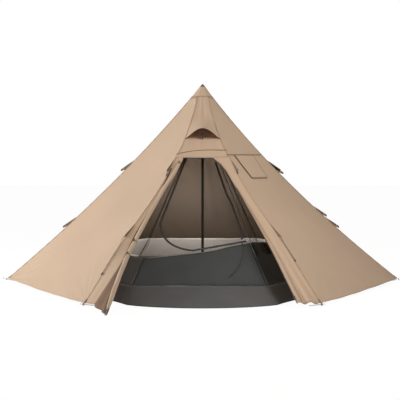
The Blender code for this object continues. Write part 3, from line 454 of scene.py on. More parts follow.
def ridge_point(name, height):
    """A point on a ridge, which hangs in towards the pole between its ends."""
    share = (height - hem_height) / (peak_height - hem_height)
    point = outward(name) * (corner_radius * (1 - share) - ridge_dips[name] * arch(share))
    point.z = height
    if name.startswith("front"):
        pinch = clamp((share - 0.16) / 0.76)
        draw = front_pinch * math.sin(math.pi * pinch) ** 2
        if hood_pinches[0][0] < height < hood_pinches[-1][0]:
            draw += smooth_value(hood_pinches, height)
        point.x -= math.copysign(draw, point.x)
    return point


def inner_point(name, height):
    """A point on an inner ridge, straight between the heights where it is held."""
    rows = (0.0, tray_height, band_height, inner_door_top, collar_height)
    pairs = list(zip(rows, rows[1:]))
    low, high = next((pair for pair in pairs if height <= pair[1]), pairs[-1])
    ends = []
    for level in (low, high):
        share = level / inner_peak
        point = outward(name) * (inner_radius * (1 - share) - inner_dip * arch(share))
        point.z = level
        if name in inner_pinches:
            point.x -= math.copysign(straight_value(inner_pinches[name], level), point.x)
        ends.append(point)
    return ends[0].lerp(ends[1], (height - low) / (high - low))


def smooth_value(table, share):
    """A value on the smooth line through a table of shares."""
    places = [place for place, value in table]
    first = max(i for i, place in enumerate(places[:-1]) if place <= max(share, places[0]))
    spans, values = zip(*[table[clamp(first + k, 0, len(table) - 1)] for k in (-1, 0, 1, 2)])
    width = spans[2] - spans[1]
    t = min((share - spans[1]) / width, 1.0)
    before = (values[2] - values[0]) / max(spans[2] - spans[0], 1e-9) * width
    after = (values[3] - values[1]) / max(spans[3] - spans[1], 1e-9) * width
    start = (2 * t**3 - 3 * t**2 + 1) * values[1] + (t**3 - 2 * t**2 + t) * before
    return start + (3 * t**2 - 2 * t**3) * values[2] + (t**3 - t**2) * after


def straight_value(table, share):
    for (low, start), (high, end) in zip(table, table[1:]):
        if share <= high:
            return start + (end - start) * (share - low) / (high - low)
    return table[-1][1]


def smooth_line(points, steps):
    """A smooth line through points, with as many steps between two of them."""
    points = [Vector(point) for point in points]
    line = []
    for i in range(len(points) - 1):
        a, b, c, d = [points[clamp(i + k, 0, len(points) - 1)] for k in (-1, 0, 1, 2)]
        for step in range(steps):
            t = step / steps
            bend, twist = 2 * a - 5 * b + 4 * c - d, 3 * b - a - 3 * c + d
            line.append(0.5 * (2 * b + (c - a) * t + bend * t**2 + twist * t**3))
    return line + [points[-1]]


def front_half(height):
    return ridge_point("front_right", height).x


def front_point(x, height, out=0.0):
    """A point of the front, lifted off it by a distance."""
    point = Vector((x, ridge_point("front_right", height).y, height))
    rise = ridge_point("front_right", height + 0.02) - ridge_point("front_right", height - 0.02)
    rise.x = 0
    return point + Vector((1, 0, 0)).cross(rise).normalized() * out


def wave(a, b, seed, size=0.5):
    """Broad uneven waves, from about -1 to 1."""
    return noise.noise(Vector((a / size, b / size, seed * 7.3))) * 1.6


def fan(along, up, count, reach):
    """Folds that fan out of a corner and fade with the distance from it."""
    away = math.hypot(along, up)
    lean = math.atan2(up, along) / 1.25
    if not 0 <= lean <= 1:
        return 0.0
    return math.sin(math.pi * count * lean + 0.6) * math.exp(-((away / reach) ** 2)) * min(away / 0.05, 1.0)


def line_length(points):
    return sum((b - a).length for a, b in zip(points, points[1:]))


def turns(count):
    """Even angles round a circle."""
    return [math.tau * k / count for k in range(count)]


# Meshes
# A cloth's worked-out width is cut down until the cloth covers this share of its rectangle
least_cover = 0.32


def sheet_mesh(name, patches):
    """A mesh of one or more grids. Each patch is its columns, its rows and a function of two shares."""
    vertices, faces, flats, edges = [], [], [], []
    for columns, rows, place in patches:
        start = len(vertices)
        grid = [[Vector(place(i / columns, j / rows)) for i in range(columns + 1)] for j in range(rows + 1)]
        middle = 0.0
        for j, row in enumerate(grid):
            if j:
                middle += (row[columns // 2] - grid[j - 1][columns // 2]).length
            along = [0.0]
            for a, b in zip(row, row[1:]):
                along.append(along[-1] + (b - a).length)
            for distance, point in zip(along, row):
                vertices.append(point)
                flats.append((distance - along[-1] / 2, middle))
                edges.append(min(distance, along[-1] - distance, middle))
        for j in range(rows):
            for i in range(columns):
                a = start + j * (columns + 1) + i
                faces.append((a, a + 1, a + columns + 2, a + columns + 1))
    mesh = bpy.data.meshes.new(name)
    mesh.from_pydata(vertices, [], faces)
    layer = mesh.uv_layers.new(name="UVMap")
    for loop in mesh.loops:
        layer.data[loop.index].uv = flats[loop.vertex_index]
    mesh.attributes.new("edge", "FLOAT", "POINT").data.foreach_set("value", edges)
    shape = bmesh.new()
    shape.from_mesh(mesh)
    bmesh.ops.remove_doubles(shape, verts=shape.verts, dist=0.00005)
    bmesh.ops.dissolve_degenerate(shape, edges=shape.edges, dist=0.00002)
    shape.to_mesh(mesh)
    shape.free()
    mesh.shade_smooth()
    return mesh


def add_piece(name, mesh, kind, body="tent", stands_for=(), slot=None):
    """Put a finished mesh in the scene, riding on its body."""
    piece = bpy.data.objects.new(name, mesh)
    bpy.context.scene.collection.objects.link(piece)
    mesh.materials.clear()
    mesh.materials.append(material(kind))
    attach(piece, body)
    if stands_for:
        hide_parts(*stands_for)
    return piece


def add_cloth(
    name, patches, kind, stands_for=(), body="tent", slot="canvas", held="stretched", rests_on=(), wall=None
):
    """A sheet of cloth with its thickness; its width and length are worked out from its area and the longest
    row and column of its grid, but nothing uses them.

    That is the rectangle it is cut from where the grid runs across and up the cloth. Where the grid goes round
    the cloth, as on the groundsheet, the cap and the stove patch, it is the rim's length and the depth from it.
    """
    mesh = sheet_mesh(name, patches)
    area = sum(face.area for face in mesh.polygons)
    width = length = 0.0
    for columns, rows, place in patches:
        for j in range(rows + 1):
            width = max(width, line_length([Vector(place(i / columns, j / rows)) for i in range(columns + 1)]))
        length = max(length, line_length([Vector(place(0.5, j / rows)) for j in range(rows + 1)]))
    length = max(length, area / width)
    # Only the front net, which has the door's opening in it, gets a width narrower than it is
    width = min(width, area / (least_cover * length))
    piece = add_piece(name, mesh, kind, body, stands_for, slot)
    thick = piece.modifiers.new("Thickness", "SOLIDIFY")
    thick.thickness = wall or bpy.context.scene.tent_sizes.cloth_thickness
    thick.offset = -1
    return piece


def finished(name, shape, sharp=None, smooth=True):
    """The mesh of a closed shape, flat or smooth but for edges sharper than an angle."""
    bmesh.ops.recalc_face_normals(shape, faces=shape.faces)
    mesh = bpy.data.meshes.new(name)
    shape.to_mesh(mesh)
    shape.free()
    if smooth:
        mesh.shade_smooth()
    if sharp:
        mesh.set_sharp_from_angle(angle=math.radians(sharp))
    return mesh


def lofted(sections, closed=False):
    """A skin over rings of points, capped at its ends or closed on itself."""
    shape = bmesh.new()
    rings = [[shape.verts.new(point) for point in section] for section in sections]
    count = len(rings[0])
    for low, high in zip(rings, rings[1:] + (rings[:1] if closed else [])):
        for k in range(count):
            shape.faces.new((low[k], low[(k + 1) % count], high[(k + 1) % count], high[k]))
    if not closed:
        shape.faces.new(rings[0][::-1])
        shape.faces.new(rings[-1])
    return shape


def tube_mesh(name, line, radii, sides=8, closed=False):
    """A round tube along a line, its ends closed."""
    points = [Vector(point) for point in line]
    steps = [(b - a).normalized() for a, b in zip(points, points[1:] + points[:1])]
    rings = []
    side = steps[0].orthogonal().normalized()
    for i, point in enumerate(points):
        ahead = steps[i] if closed or i < len(points) - 1 else steps[i - 1]
        behind = steps[i - 1] if closed or i else ahead
        tangent = (ahead + behind).normalized()
        side = (side - tangent * side.dot(tangent)).normalized()
        up = tangent.cross(side)
        radius = radii[i] if isinstance(radii, (list, tuple)) else radii
        rings.append([point + (side * math.cos(t) + up * math.sin(t)) * radius for t in turns(sides)])
    return finished(name, lofted(rings, closed))


def tape_mesh(name, line, normals, width, lift, thickness=0.0012, fold=0.0):
    """A flat tape along a line on a surface. Fold is how far its middle stands over its edges."""
    points = [Vector(point) for point in line]
    shares = (-0.5, -0.25, 0.0, 0.25, 0.5)
    rows = []
    for i, point in enumerate(points):
        along = (points[min(i + 1, len(points) - 1)] - points[max(i - 1, 0)]).normalized()
        normal = Vector(normals[i] if isinstance(normals, list) else normals)
        across = along.cross(normal).normalized()
        out = across.cross(along).normalized()
        row = []
        for level, side in ((lift, shares), (lift - thickness, shares[::-1])):
            for share in side:
                row.append(point + across * (width * share) + out * (level + fold * (1 - 4 * share * share)))
        rows.append(row)
    return finished(name, lofted(rows), 50)


def add_tube(name, line, radii, kind, sides=8, closed=False, **place):
    return add_piece(name, tube_mesh(name, line, radii, sides, closed), kind, **place)


def add_tape(name, line, normals, width, lift, kind, thickness=0.0012, fold=0.0, **place):
    return add_piece(name, tape_mesh(name, line, normals, width, lift, thickness, fold), kind, **place)


# Small fittings, each modelled once and copied
def start_model():
    """Select nothing, so that an operator acts on the new piece alone."""
    bpy.ops.object.select_all(action="DESELECT")


def select_faces(test):
    """In edit mode, select the faces that pass a test and no others."""
    bpy.ops.mesh.select_mode(type="FACE")
    shape = bmesh.from_edit_mesh(bpy.context.object.data)
    for face in shape.faces:
        face.select_set(False)
    for face in shape.faces:
        if test(face):
            face.select_set(True)
    bmesh.update_edit_mesh(bpy.context.object.data)


def take_model():
    """The mesh just shaped in edit mode, merged, with its faces outward."""
    made = bpy.context.object
    bpy.ops.mesh.select_all(action="SELECT")
    bpy.ops.mesh.remove_doubles(threshold=0.00001)
    bpy.ops.mesh.normals_make_consistent(inside=False)
    bpy.ops.object.mode_set(mode="OBJECT")
    bpy.ops.object.shade_smooth_by_angle(angle=math.radians(40))
    mesh = made.data.copy()
    bpy.data.objects.remove(made)
    return mesh


def waisted(levels):
    """In edit mode, cut rings round an upright piece at some levels, each cut followed by a resize."""
    for level, size in levels:
        bpy.ops.mesh.select_all(action="SELECT")
        bpy.ops.mesh.bisect(plane_co=(0, 0, level), plane_no=(0, 0, 1))
        bpy.ops.transform.resize(value=(size, size, 1), center_override=(0, 0, level))


def is_end(face):
    return abs(face.normal.z) > 0.9


def model_toggle():
    """A turned toggle: a bar with a waist for its cord and rounded ends."""
    start_model()
    bpy.ops.mesh.primitive_cylinder_add(vertices=16, radius=0.0062, depth=0.022)
    bpy.ops.object.mode_set(mode="EDIT")
    waisted(((0.004, 0.86), (0.0, 0.62), (-0.004, 0.86)))
    select_faces(is_end)
    bpy.ops.mesh.bevel(offset=0.0018, segments=3)
    return take_model()


def model_knob():
    """The prop's moulded knob: a drum with a groove round its middle and rounded rims."""
    start_model()
    bpy.ops.mesh.primitive_cylinder_add(vertices=20, radius=0.013, depth=0.024)
    bpy.ops.object.mode_set(mode="EDIT")
    waisted(((0.003, 1.0), (0.0, 0.8), (-0.003, 1.0)))
    select_faces(is_end)
    bpy.ops.mesh.inset(thickness=0.003, depth=0.0025)
    select_faces(is_end)
    bpy.ops.mesh.bevel(offset=0.0012, segments=2)
    return take_model()


def model_ring(radius, wire):
    """A ring of round wire: the wire's section, spun about the ring's middle."""
    start_model()
    bpy.ops.mesh.primitive_circle_add(vertices=10, radius=wire, rotation=(math.pi / 2, 0, 0))
    bpy.ops.object.mode_set(mode="EDIT")
    bpy.ops.mesh.select_all(action="SELECT")
    bpy.ops.transform.translate(value=(radius, 0, 0))
    bpy.ops.object.mode_set(mode="OBJECT")
    bpy.ops.object.transform_apply(location=True, rotation=True, scale=True)
    bpy.ops.object.mode_set(mode="EDIT")
    bpy.ops.mesh.select_all(action="SELECT")
    bpy.ops.mesh.spin(steps=24, angle=math.tau, center=(0, 0, 0), axis=(0, 0, 1))
    return take_model()


model_makers = {
    "toggle": model_toggle,
    "prop_knob": model_knob,
    "corner_ring": lambda: model_ring(0.0078, 0.0026),
    "eyelet": lambda: model_ring(0.0042, 0.0013),
}
made_models = {}


def add_copy(name, model, place, along, kind, body="tent"):
    """A copy of a fitting with its own mesh, its axis turned along a direction."""
    if model not in made_models:
        made_models[model] = model_makers[model]()
    mesh = made_models[model].copy()
    turn = Vector(along).to_track_quat("Z", "X").to_matrix().to_4x4()
    mesh.transform(Matrix.Translation(place) @ turn)
    return add_piece(name, mesh, kind, body)


def spaced(line, spacing):
    """Points at even distances along a line, each with the line's direction there."""
    points = [Vector(point) for point in line]
    places, left = [], 0.0
    for a, b in zip(points, points[1:]):
        length = (b - a).length
        while left < length:
            places.append((a.lerp(b, left / length), (b - a) / length))
            left += spacing
        left -= length
    return places


def zip_mesh(name, line, normal, radius):
    """A zip's chain: a cord with a row of small teeth, turned by turns to either side."""
    core = tube_mesh(name, line, radius * 0.55, 6)
    shape = bmesh.new()
    shape.from_mesh(core)
    for i, (place, along) in enumerate(spaced(line, 0.007)):
        across = along.cross(normal).normalized()
        out = across.cross(along).normalized()
        middle = place + across * (radius * 0.25 * (1 if i % 2 else -1)) + out * radius * 0.1
        box = bmesh.ops.create_cube(shape, size=1.0)["verts"]
        for vertex in box:
            x, y, z = vertex.co
            vertex.co = middle + along * (x * 0.0040) + across * (y * radius * 1.3) + out * (z * radius * 1.5)
    shape.to_mesh(core)
    shape.free()
    return core


def joined(name, meshes):
    """One mesh of several."""
    shape = bmesh.new()
    for mesh in meshes:
        shape.from_mesh(mesh)
    whole = bpy.data.meshes.new(name)
    shape.to_mesh(whole)
    shape.free()
    return whole


def dress_nodes(kinds):
    """Give CAD nodes that keep their shape a better material."""
    for name, kind in kinds.items():
        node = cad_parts[name]
        node.data.materials.clear()
        node.data.materials.append(material(kind))


# Canopy
def side_place(left, right, seed, slack):
    """The function of a side panel, between two ridges, with its folds; a slack one has broad pleats too."""
    sizes = bpy.context.scene.tent_sizes

    def flat(across, height):
        start, end = ridge_point(left, height), ridge_point(right, height)
        along = (end - start).normalized()
        inward = Vector((-along.y, along.x, 0))
        length = (end - start).length
        point = (start + along * seam_inset).lerp(end - along * seam_inset, across)
        point += inward * panel_dip * (length / corner_radius) ** 2 * arch(across)
        point.z -= hem_droop * arch(across) * max(0.0, 1 - (height - hem_height) / 0.25) ** 1.5
        return point, along, length

    def place(across, up):
        # The grid is closer at the ridges and the hem, where the folds are
        across -= 0.65 * math.sin(math.tau * across) / math.tau
        height = hem_height + (cap_seam_height - seam_gap - hem_height) * up**1.3
        point, along, length = flat(across, height)
        above = flat(across, height + 0.01)[0]
        normal = along.cross(above - point).normalized()
        # The cloth's own length up from the hem
        rise = (height - hem_height) * 1.33
        left_away, right_away = across * length, (1 - across) * length
        push = sizes.slack_depth * wave(across * length, rise, seed) * arch(across) ** 0.5
        folds = sum(fan(away, rise, corner_folds, corner_fold_reach) for away in (left_away, right_away))
        push += sizes.fold_depth * folds * arch(across) ** 0.2
        if slack:
            push += 0.009 * math.sin(across * 38 + math.sin(rise * 2)) * arch(across) * min(1.0, rise)
        push += 0.004 * math.sin(across * 26 + seed) * math.exp(-rise / 0.12) * arch(across)
        puckers = math.exp(-left_away / 0.05) + math.exp(-right_away / 0.05)
        push += 0.0015 * math.sin(rise * 70 + seed * 3) * puckers
        return point + normal * (push - cloth_inset)

    return place


side_names = {
    "left_front_panel": ("left", "front_left"),
    "left_back_panel": ("back_left", "left"),
    "back_panel": ("back_right", "back_left"),
    "right_back_panel": ("right", "back_right"),
    "right_front_panel": ("front_right", "right"),
}


def make_side_panels():
    for seed, (name, (left, right)) in enumerate(side_names.items()):
        place = side_place(left, right, seed + 1, name in ("back_panel", "right_back_panel"))
        piece = add_cloth(f"canvas_{name}", [(72, 80, place)], "canvas", (name,), rests_on=["pole_plug"])
        if name == "right_front_panel":
            cut_pipe_opening(piece)


def cut_pipe_opening(piece):
    """Take out the cloth behind the stove patch's pipe hole."""
    centre = jack_origin + jack_down * (jack_length / 2)
    shape = bmesh.new()
    shape.from_mesh(piece.data)
    inside = [face for face in shape.faces if (face.calc_center_median() - centre).length < pipe_clearance]
    bmesh.ops.delete(shape, geom=inside, context="FACES")
    shape.to_mesh(piece.data)
    shape.free()


def drawn_forward(height):
    """How far the roll's tail draws the left strip's free edge forward."""
    share = clamp((0.50 - height) / 0.25)
    return 0.075 * share * share * (3 - 2 * share)


def strip_edge(shares, height):
    """Place across of a door strip's free edge at a height."""
    return front_half(height) * smooth_value(shares, height / door_top)


def strip_place(shares, side):
    """The function of a door strip, from its seam to its edge at the doorway."""
    depth = bpy.context.scene.tent_sizes.fold_depth * (2.4 if side > 0 else 0.3)

    def place(across, up):
        up = 1 - (1 - up) ** 1.5
        height = hem_height + (door_top - seam_gap - hem_height) * up
        seam = front_half(height) - seam_inset
        edge = strip_edge(shares, height)
        share = across if side > 0 else 1 - across
        push = depth * math.sin(share * 13 + 0.5) * math.exp(-(height - hem_height) / 0.16) * arch(share) ** 0.5
        push += 0.0018 * wave(share * 0.4, height, 11 + side, 0.22)
        point = front_point(side * (edge + (seam - edge) * share), height, push - cloth_inset)
        if side < 0:
            point.y -= (1 - share) * drawn_forward(height)
        return point

    return place


def over_door_place(across, up):
    """The header and the sill under the vent; what lies behind the hood is drawn in, clear of it."""
    height = door_top + (sill_height + 0.018 - seam_gap - door_top) * up
    x = (front_half(height) - seam_inset) * (2 * across - 1)
    if height > sill_height:
        return front_point(x, height, -cloth_inset - 0.0022)
    push = 0.003 * wave(across, height, 21, 0.16) + 0.002 * arch(across) * math.sin(math.pi * up)
    return front_point(x, height, push - cloth_inset)


def make_front_cloth():
    for name, columns, rows, shares, side in (
        ("door_strip_right", 16, 90, right_edge_shares, 1),
        ("door_strip_left", 12, 60, left_edge_shares, -1),
    ):
        patch = (columns, rows, strip_place(shares, side))
        add_cloth(f"canvas_{name}", [patch], "canvas", (name,), rests_on=["pole_plug"])
    patch = (48, 20, over_door_place)
    add_cloth("canvas_over_door", [patch], "canvas", ("door_header", "vent_panel"), rests_on=["pole_plug"])
    places = ((-0.252, 1.318), (-0.16, 1.338), (-0.05, 1.353), (0.06, 1.358), (0.234, 1.357))
    line = smooth_line([front_point(x, z, 0.001) for x, z in places], 6)
    add_tape("header_seam_tape", line, Vector((0, -0.76, 0.65)), 0.010, 0.001, "topstitch")
    line = []
    for height in [0.06 + 0.02 * i for i in range(48)]:
        x = strip_edge(right_edge_shares, height) + 0.05 * min(1, 1.1 - height)
        line.append(front_point(x, height, 0.0005))
    add_tape("door_placket_seam", line, front_out, 0.006, 0.001, "seam")


def hood_place(across, up):
    """The hood is flat at the cap and arches out over the vent at its lower edge."""
    low = sill_height + 0.004
    height = low + (cap_seam_height - seam_gap - low) * up
    half = front_half(height) - seam_inset
    point = front_point(half * (2 * across - 1), height, -cloth_inset)
    rise = max((hood_top - height) / (hood_top - sill_height), 0) ** 2
    point += Vector((0, -hood_reach, hood_rise)) * rise * arch(across) ** 1.5
    crease = 0.001 * math.sin(across * 19) * min(1.0, up * 3) * arch(across)
    return point + Vector((0, -0.7, 0.7)) * (crease + 0.002 * wave(across, up, 31, 0.3) * arch(across))


def make_vent():
    rests = ["pole_plug", "vent_prop"]
    add_cloth("canvas_vent_hood", [(48, 48, hood_place)], "canvas", ("vent_hood",), held="hung", rests_on=rests)
    # A binding runs along the hood's lower edge; its dark brown is also painted shade of the hood's underside
    add_tube("hood_edge_tape", [hood_place(i / 40, 0.0) for i in range(41)], 0.0036, "edge_tape", 6)

    def net_place(across, up):
        height = sill_height - 0.012 + (hood_top - sill_height) * up
        half = front_half(height) - 0.015
        return front_point(half * (2 * across - 1), height, -0.0045 - 0.006 * arch(across) * arch(up))

    place = {"slot": "net", "rests_on": ["vent_panel"], "wall": net_wall}
    # The vent's netting takes the light tan that paints light under the hood
    add_cloth("vent_netting", [(24, 12, net_place)], "vent_net", ("vent_mesh",), **place)
    dress_nodes({"vent_prop": "plastic"})
    high, low = Vector((0, -0.5072, 1.5612)), Vector((0, -0.4283, 1.4672))
    add_copy("vent_prop_knob", "prop_knob", high.lerp(low, 0.62), high - low, "plastic", "vent_prop")


def side_of(turn):
    """Which of the six sides is at a place round the tent, from 0 to 1, and the share across it."""
    first, share = divmod(turn * 6, 1)
    return int(first) % 6, share


def make_cap():
    """The cap's six sides meet in soft ridges under the welded tip."""

    def place(across, up):
        first, share = side_of(across)
        climb = min(up / 0.92, 1.0)
        close = max(0.0, (up - 0.92) / 0.08)
        corners = []
        for name in (ridge_names[first], ridge_names[(first + 1) % 6]):
            low = ridge_point(name, cap_seam_height)
            high = outward(name) * cap_tip_radius + Vector((0, 0, cap_flat_height))
            corners.append(low.lerp(high, climb))
        point = corners[0].lerp(corners[1], share)
        bulge = (1 + 0.03 * arch(share)) * (1 - close)
        height = cap_seam_height + (cap_flat_height - cap_seam_height) * climb
        return Vector((point.x * bulge, point.y * bulge, height - 0.0008))

    add_cloth("canvas_cap", [(48, 25, place)], "canvas", ("top_cap",), rests_on=["pole_plug"])
    ring = []
    for i in range(36):
        first, share = side_of(i / 36)
        low = [ridge_point(ridge_names[(first + k) % 6], cap_seam_height) for k in (0, 1)]
        ring.append(low[0].lerp(low[1], share) * 1.004 + Vector((0, 0, -0.007)))
    add_tube("cap_seam_tape", ring, 0.0035, "seam", 6, closed=True)
    dress_nodes({"cap_tip": "tip"})


def ridge_normal(name, height):
    """Outward from a ridge, square to it."""
    rise = (ridge_point(name, height + 0.02) - ridge_point(name, height - 0.02)).normalized()
    out = outward(name)
    return (out - rise * out.dot(rise)).normalized()


def guy_plane(name, height):
    """Top, foot and tip of a guy loop, and its across direction."""
    out = outward(name)
    top, low = ridge_point(name, height + guy_half), ridge_point(name, height - guy_half)
    across = out.cross(top - low).normalized()
    up = across.cross(out)
    return top, low, low.lerp(top, 0.5) + out * guy_reach - up * guy_drop, across, up


def guy_tab_mesh(name, height):
    """A folded triangle of webbing with rounded corners and an eyelet hole near its tip."""
    top, low, tip, across, up = guy_plane(name, height)
    hole = low.lerp(top, 0.5).lerp(tip, eyelet_share)
    corners = (top + up * 0.004, low - up * 0.004, tip - up * 0.008, tip + up * 0.012)
    outline = []
    for corner, ahead in zip(corners, corners[1:] + corners[:1]):
        outline += [corner.lerp(ahead, share) for share in (0.0, 0.25, 0.5, 0.75)]
    inner = [hole + (point - hole).normalized() * 0.0030 for point in outline]
    rings = ((0.0016, outline), (0.0016, inner), (-0.0016, inner), (-0.0016, outline))
    sections = [[point + across * offset for point in ring] for offset, ring in rings]
    return finished("guy_tab", lofted(sections, closed=True), smooth=False)


def make_seams():
    """Felled seams on the ridges, with webbing guy loops and corner straps."""
    sizes = bpy.context.scene.tent_sizes
    for name in ridge_names:
        heights = [hem_height + (cap_seam_height - hem_height) * i / 60 for i in range(61)]
        line = [ridge_point(name, height) for height in heights]
        normals = [ridge_normal(name, height) for height in heights]
        width = sizes.seam_width * (0.6 if name.startswith("front") else 1.0)
        place = {"stands_for": (f"seam_{name}",), "slot": "binding"}
        add_tape(f"ridge_seam_{name}", line, normals, width, -0.0022, "seam", 0.0013, 0.0028, **place)
        for label, height in zip(("upper", "lower"), guy_heights):
            mesh = guy_tab_mesh(name, height)
            tab = add_piece(f"guy_tab_{label}_{name}", mesh, "webbing", slot="dark_webbing")
            soften = tab.modifiers.new("Bevel", "BEVEL")
            soften.width, soften.segments, soften.limit_method = 0.0008, 2, "ANGLE"
            add_eyelet(f"guy_eyelet_{label}_{name}", name, height)
        make_corner(name)
    for label, height in zip(("upper", "lower"), spare_guy_heights):
        add_piece(f"spare_guy_tab_{label}", guy_tab_mesh("right", height), "webbing", slot="dark_webbing")
        add_eyelet(f"spare_eyelet_{label}", "right", height)


def add_eyelet(name, ridge, height):
    """The eyelet in a guy loop's hole."""
    top, low, tip, across, up = guy_plane(ridge, height)
    add_copy(name, "eyelet", low.lerp(top, 0.5).lerp(tip, eyelet_share), across, "slider")


def make_corner(name):
    """The corner's webbing loop and the ring that its peg goes through."""
    out, up = outward(name), Vector((0, 0, 1))
    ring = out * 2.0128 + up * 0.04
    add_copy(f"corner_ring_{name}", "corner_ring", ring, out * 0.215 + up * 0.041, "slider")
    start, bend = ridge_point(name, hem_height + 0.03), ridge_point(name, hem_height + 0.004)
    line = smooth_line([start, bend + out * 0.003, ring + up * 0.006, ring + out * 0.002 + up * 0.0108], 4)
    add_tape(f"corner_strap_{name}", line, (out + up).normalized(), 0.012, 0.001, "webbing", 0.0016)
    dress_nodes({f"peg_{name}": "peg"})


# Stove jack
def jack_surface(across, down, lift):
    """A point over the right front panel, straight above a place on the flap's plane."""
    point = jack_origin + jack_across * across + jack_down * down
    for step in range(3):
        start, end = ridge_point("front_right", point.z), ridge_point("right", point.z)
        along = (end - start).normalized()
        length = (end - start).length
        share = (point - start).dot(along) / length
        inward = Vector((-along.y, along.x, 0))
        on = start.lerp(end, share) + inward * panel_dip * (length / corner_radius) ** 2 * arch(share)
        point = point + jack_out * (on - point).dot(jack_out)
    return point + jack_out * lift


def patch_place(across, up):
    """The patch's rings, from the pipe hole out to its square edge."""
    angle = math.tau * across
    x, y = math.cos(angle), math.sin(angle)
    wide = jack_width / 2 - (0.004 if x > 0 else 0.052)
    reach = min(wide / max(abs(x), 1e-6), (jack_length / 2 - 0.012) / max(abs(y), 1e-6))
    away = pipe_hole_radius + (reach - pipe_hole_radius) * up
    return jack_surface(x * away, jack_length / 2 - y * away, 0.0015)


def flap_place(across, up):
    """The flap, a little wider at its hinge and puffed up in its middle."""
    x, y = 0.034 + (across - 0.5) * (jack_width - 0.030 + 0.060 * up), (1 - up) * jack_length
    puff = 0.0025 * arch(across) * arch(up) + 0.0012 * wave(x, y, 41, 0.08)
    return jack_origin + jack_across * x + jack_down * y + jack_out * (0.0080 + puff)


def make_stove_jack():
    place = {"slot": "fireproof", "rests_on": ["right_front_panel"]}
    add_cloth("stove_patch_cloth", [(64, 10, patch_place)], "fireproof", ("stove_jack_patch",), **place)
    reach = pipe_hole_radius + 0.004
    line = [jack_surface(reach * math.cos(t), jack_length / 2 - reach * math.sin(t), 0.002) for t in turns(32)]
    add_tube("pipe_hole_binding", line, 0.0022, "seam", 6, closed=True)
    place = {"body": "stove_flap", "held": "hung", "rests_on": ["right_front_panel"]}
    add_cloth("stove_flap_cloth", [(20, 16, flap_place)], "canvas", ("stove_jack_flap",), **place)
    corners = ((0.0, 1.0), (0.0, 0.0), (1.0, 0.0), (1.0, 1.0))
    line = []
    for (x0, y0), (x1, y1) in zip(corners, corners[1:] + corners[:1]):
        for step in range(12):
            share = 0.02 + 0.96 * step / 11
            line.append(flap_place(x0 + (x1 - x0) * share, y0 + (y1 - y0) * share) - jack_out * 0.003)
    radius = bpy.context.scene.tent_sizes.piping_radius
    add_tube("stove_flap_piping", line, radius, "webbing", 8, closed=True, body="stove_flap")
    line = [jack_surface(x / 10, 0.0, 0.0) + Vector((0, 0, 0.012)) for x in range(-3, 5)]
    add_tape("stove_panel_seam", smooth_line(line, 4), jack_out, 0.007, 0.002, "topstitch")


# Rolled door
def roll_middle():
    """The roll's middle line with its radius, eight steps for each place of its table."""
    centres = smooth_line([point for point, radius in roll_line], 8)
    table = list(enumerate([radius for point, radius in roll_line]))
    return centres, [straight_value(table, i / 8) for i in range(len(centres))]


def roll_mesh():
    """The door's cloth rolled up: its outer edge shows as a step, and its ties pinch it."""
    centres, radii = roll_middle()
    sides = 36
    rings = []
    side = Vector((1, 0, 0))
    for i, (centre, radius) in enumerate(zip(centres, radii)):
        tangent = (centres[min(i + 1, len(centres) - 1)] - centres[max(i - 1, 0)]).normalized()
        side = (side - tangent * side.dot(tangent)).normalized()
        up = tangent.cross(side)
        place = i / 8
        pinch = 1 - sum(0.16 * math.exp(-(((place - tie) / 0.16) ** 2)) for tie in roll_tie_places)
        ring = []
        for turn in turns(sides):
            swell = 0.94 + 0.18 * (turn / math.tau - 0.5)
            swell += 0.05 * math.sin(3 * turn + place * 1.7) + 0.03 * math.sin(7 * turn - place * 4.1)
            swell += 0.06 * noise.noise(Vector((math.cos(turn) * 1.5, math.sin(turn) * 1.5, place * 0.9)))
            spoke = side * math.cos(turn + 2.2) + up * math.sin(turn + 2.2)
            ring.append(centre + spoke * radius * swell * pinch)
        rings.append(ring)
    return finished("rolled_door", lofted(rings), 60)


def web_place(across, up):
    """The slack cloth between the left strip's edge and the roll's tail, in loose folds."""
    centres = smooth_line([point for point, radius in roll_line[8:]], 4)
    place = (1 - up) * (len(centres) - 1)
    first = min(int(place), len(centres) - 2)
    on_roll = centres[first].lerp(centres[first + 1], place - first)
    height = max(on_roll.z * 0.92 - 0.0099, 0.03)
    low = max(height, hem_height)
    on_strip = front_point(-strip_edge(left_edge_shares, low), low, 0.003)
    on_strip.y -= drawn_forward(low)
    on_strip.z += height - low
    point = on_strip.lerp(on_roll, across)
    fold = 0.016 * math.sin(across * 9.4 + 0.4) * arch(across) * (1 - 0.6 * up)
    return point + Vector((-0.9, 0.2, 0.1)) * fold


def make_door_roll():
    piece = add_piece("rolled_door", roll_mesh(), "canvas", stands_for=("door_roll",), slot="canvas")
    # The slack web is drawn dark brown: painted shade of the deep fold between the strip and the roll
    add_cloth("door_slack_web", [(24, 36, web_place)], "lining", held="gathered", rests_on=["rolled_door"])
    # A dark tape along the slit between the left strip and the roll paints the slit's shadow
    line = []
    for height in [0.40 + 0.03 * i for i in range(27)]:
        x = -front_half(height) * straight_value(slit_shares, height)
        line.append(front_point(x, height, 0.002) - Vector((0, drawn_forward(height), 0)))
    add_tape("door_edge_tape", line, front_out, 0.012, 0.0015, "painted_shadow_and_binding", 0.0015, 0.002)
    # A dark tape along the web beside the roll paints the shadow of the fold there
    line = []
    for k in range(25):
        width = (web_place(1.0, k / 24) - web_place(0.0, k / 24)).length
        line.append(web_place(1 - min(0.028 / width, 0.6), k / 24) + Vector((-0.003, -0.008, 0.004)))
    add_tape("roll_shaded_edge", line, Vector((-0.4, -0.8, 0.4)), 0.014, 0.001, "painted_shadow_and_binding")
    # The roll's foot is bound in the same dark brown as the painted shadow lines
    start, end = [Vector(point) for point, radius in roll_line[-2:]]
    line = [start, start.lerp(end, 0.5), end]
    add_tube("roll_foot_binding", line, [0.0150, 0.0142, 0.0112], "painted_shadow_and_binding", 16)
    make_ties()


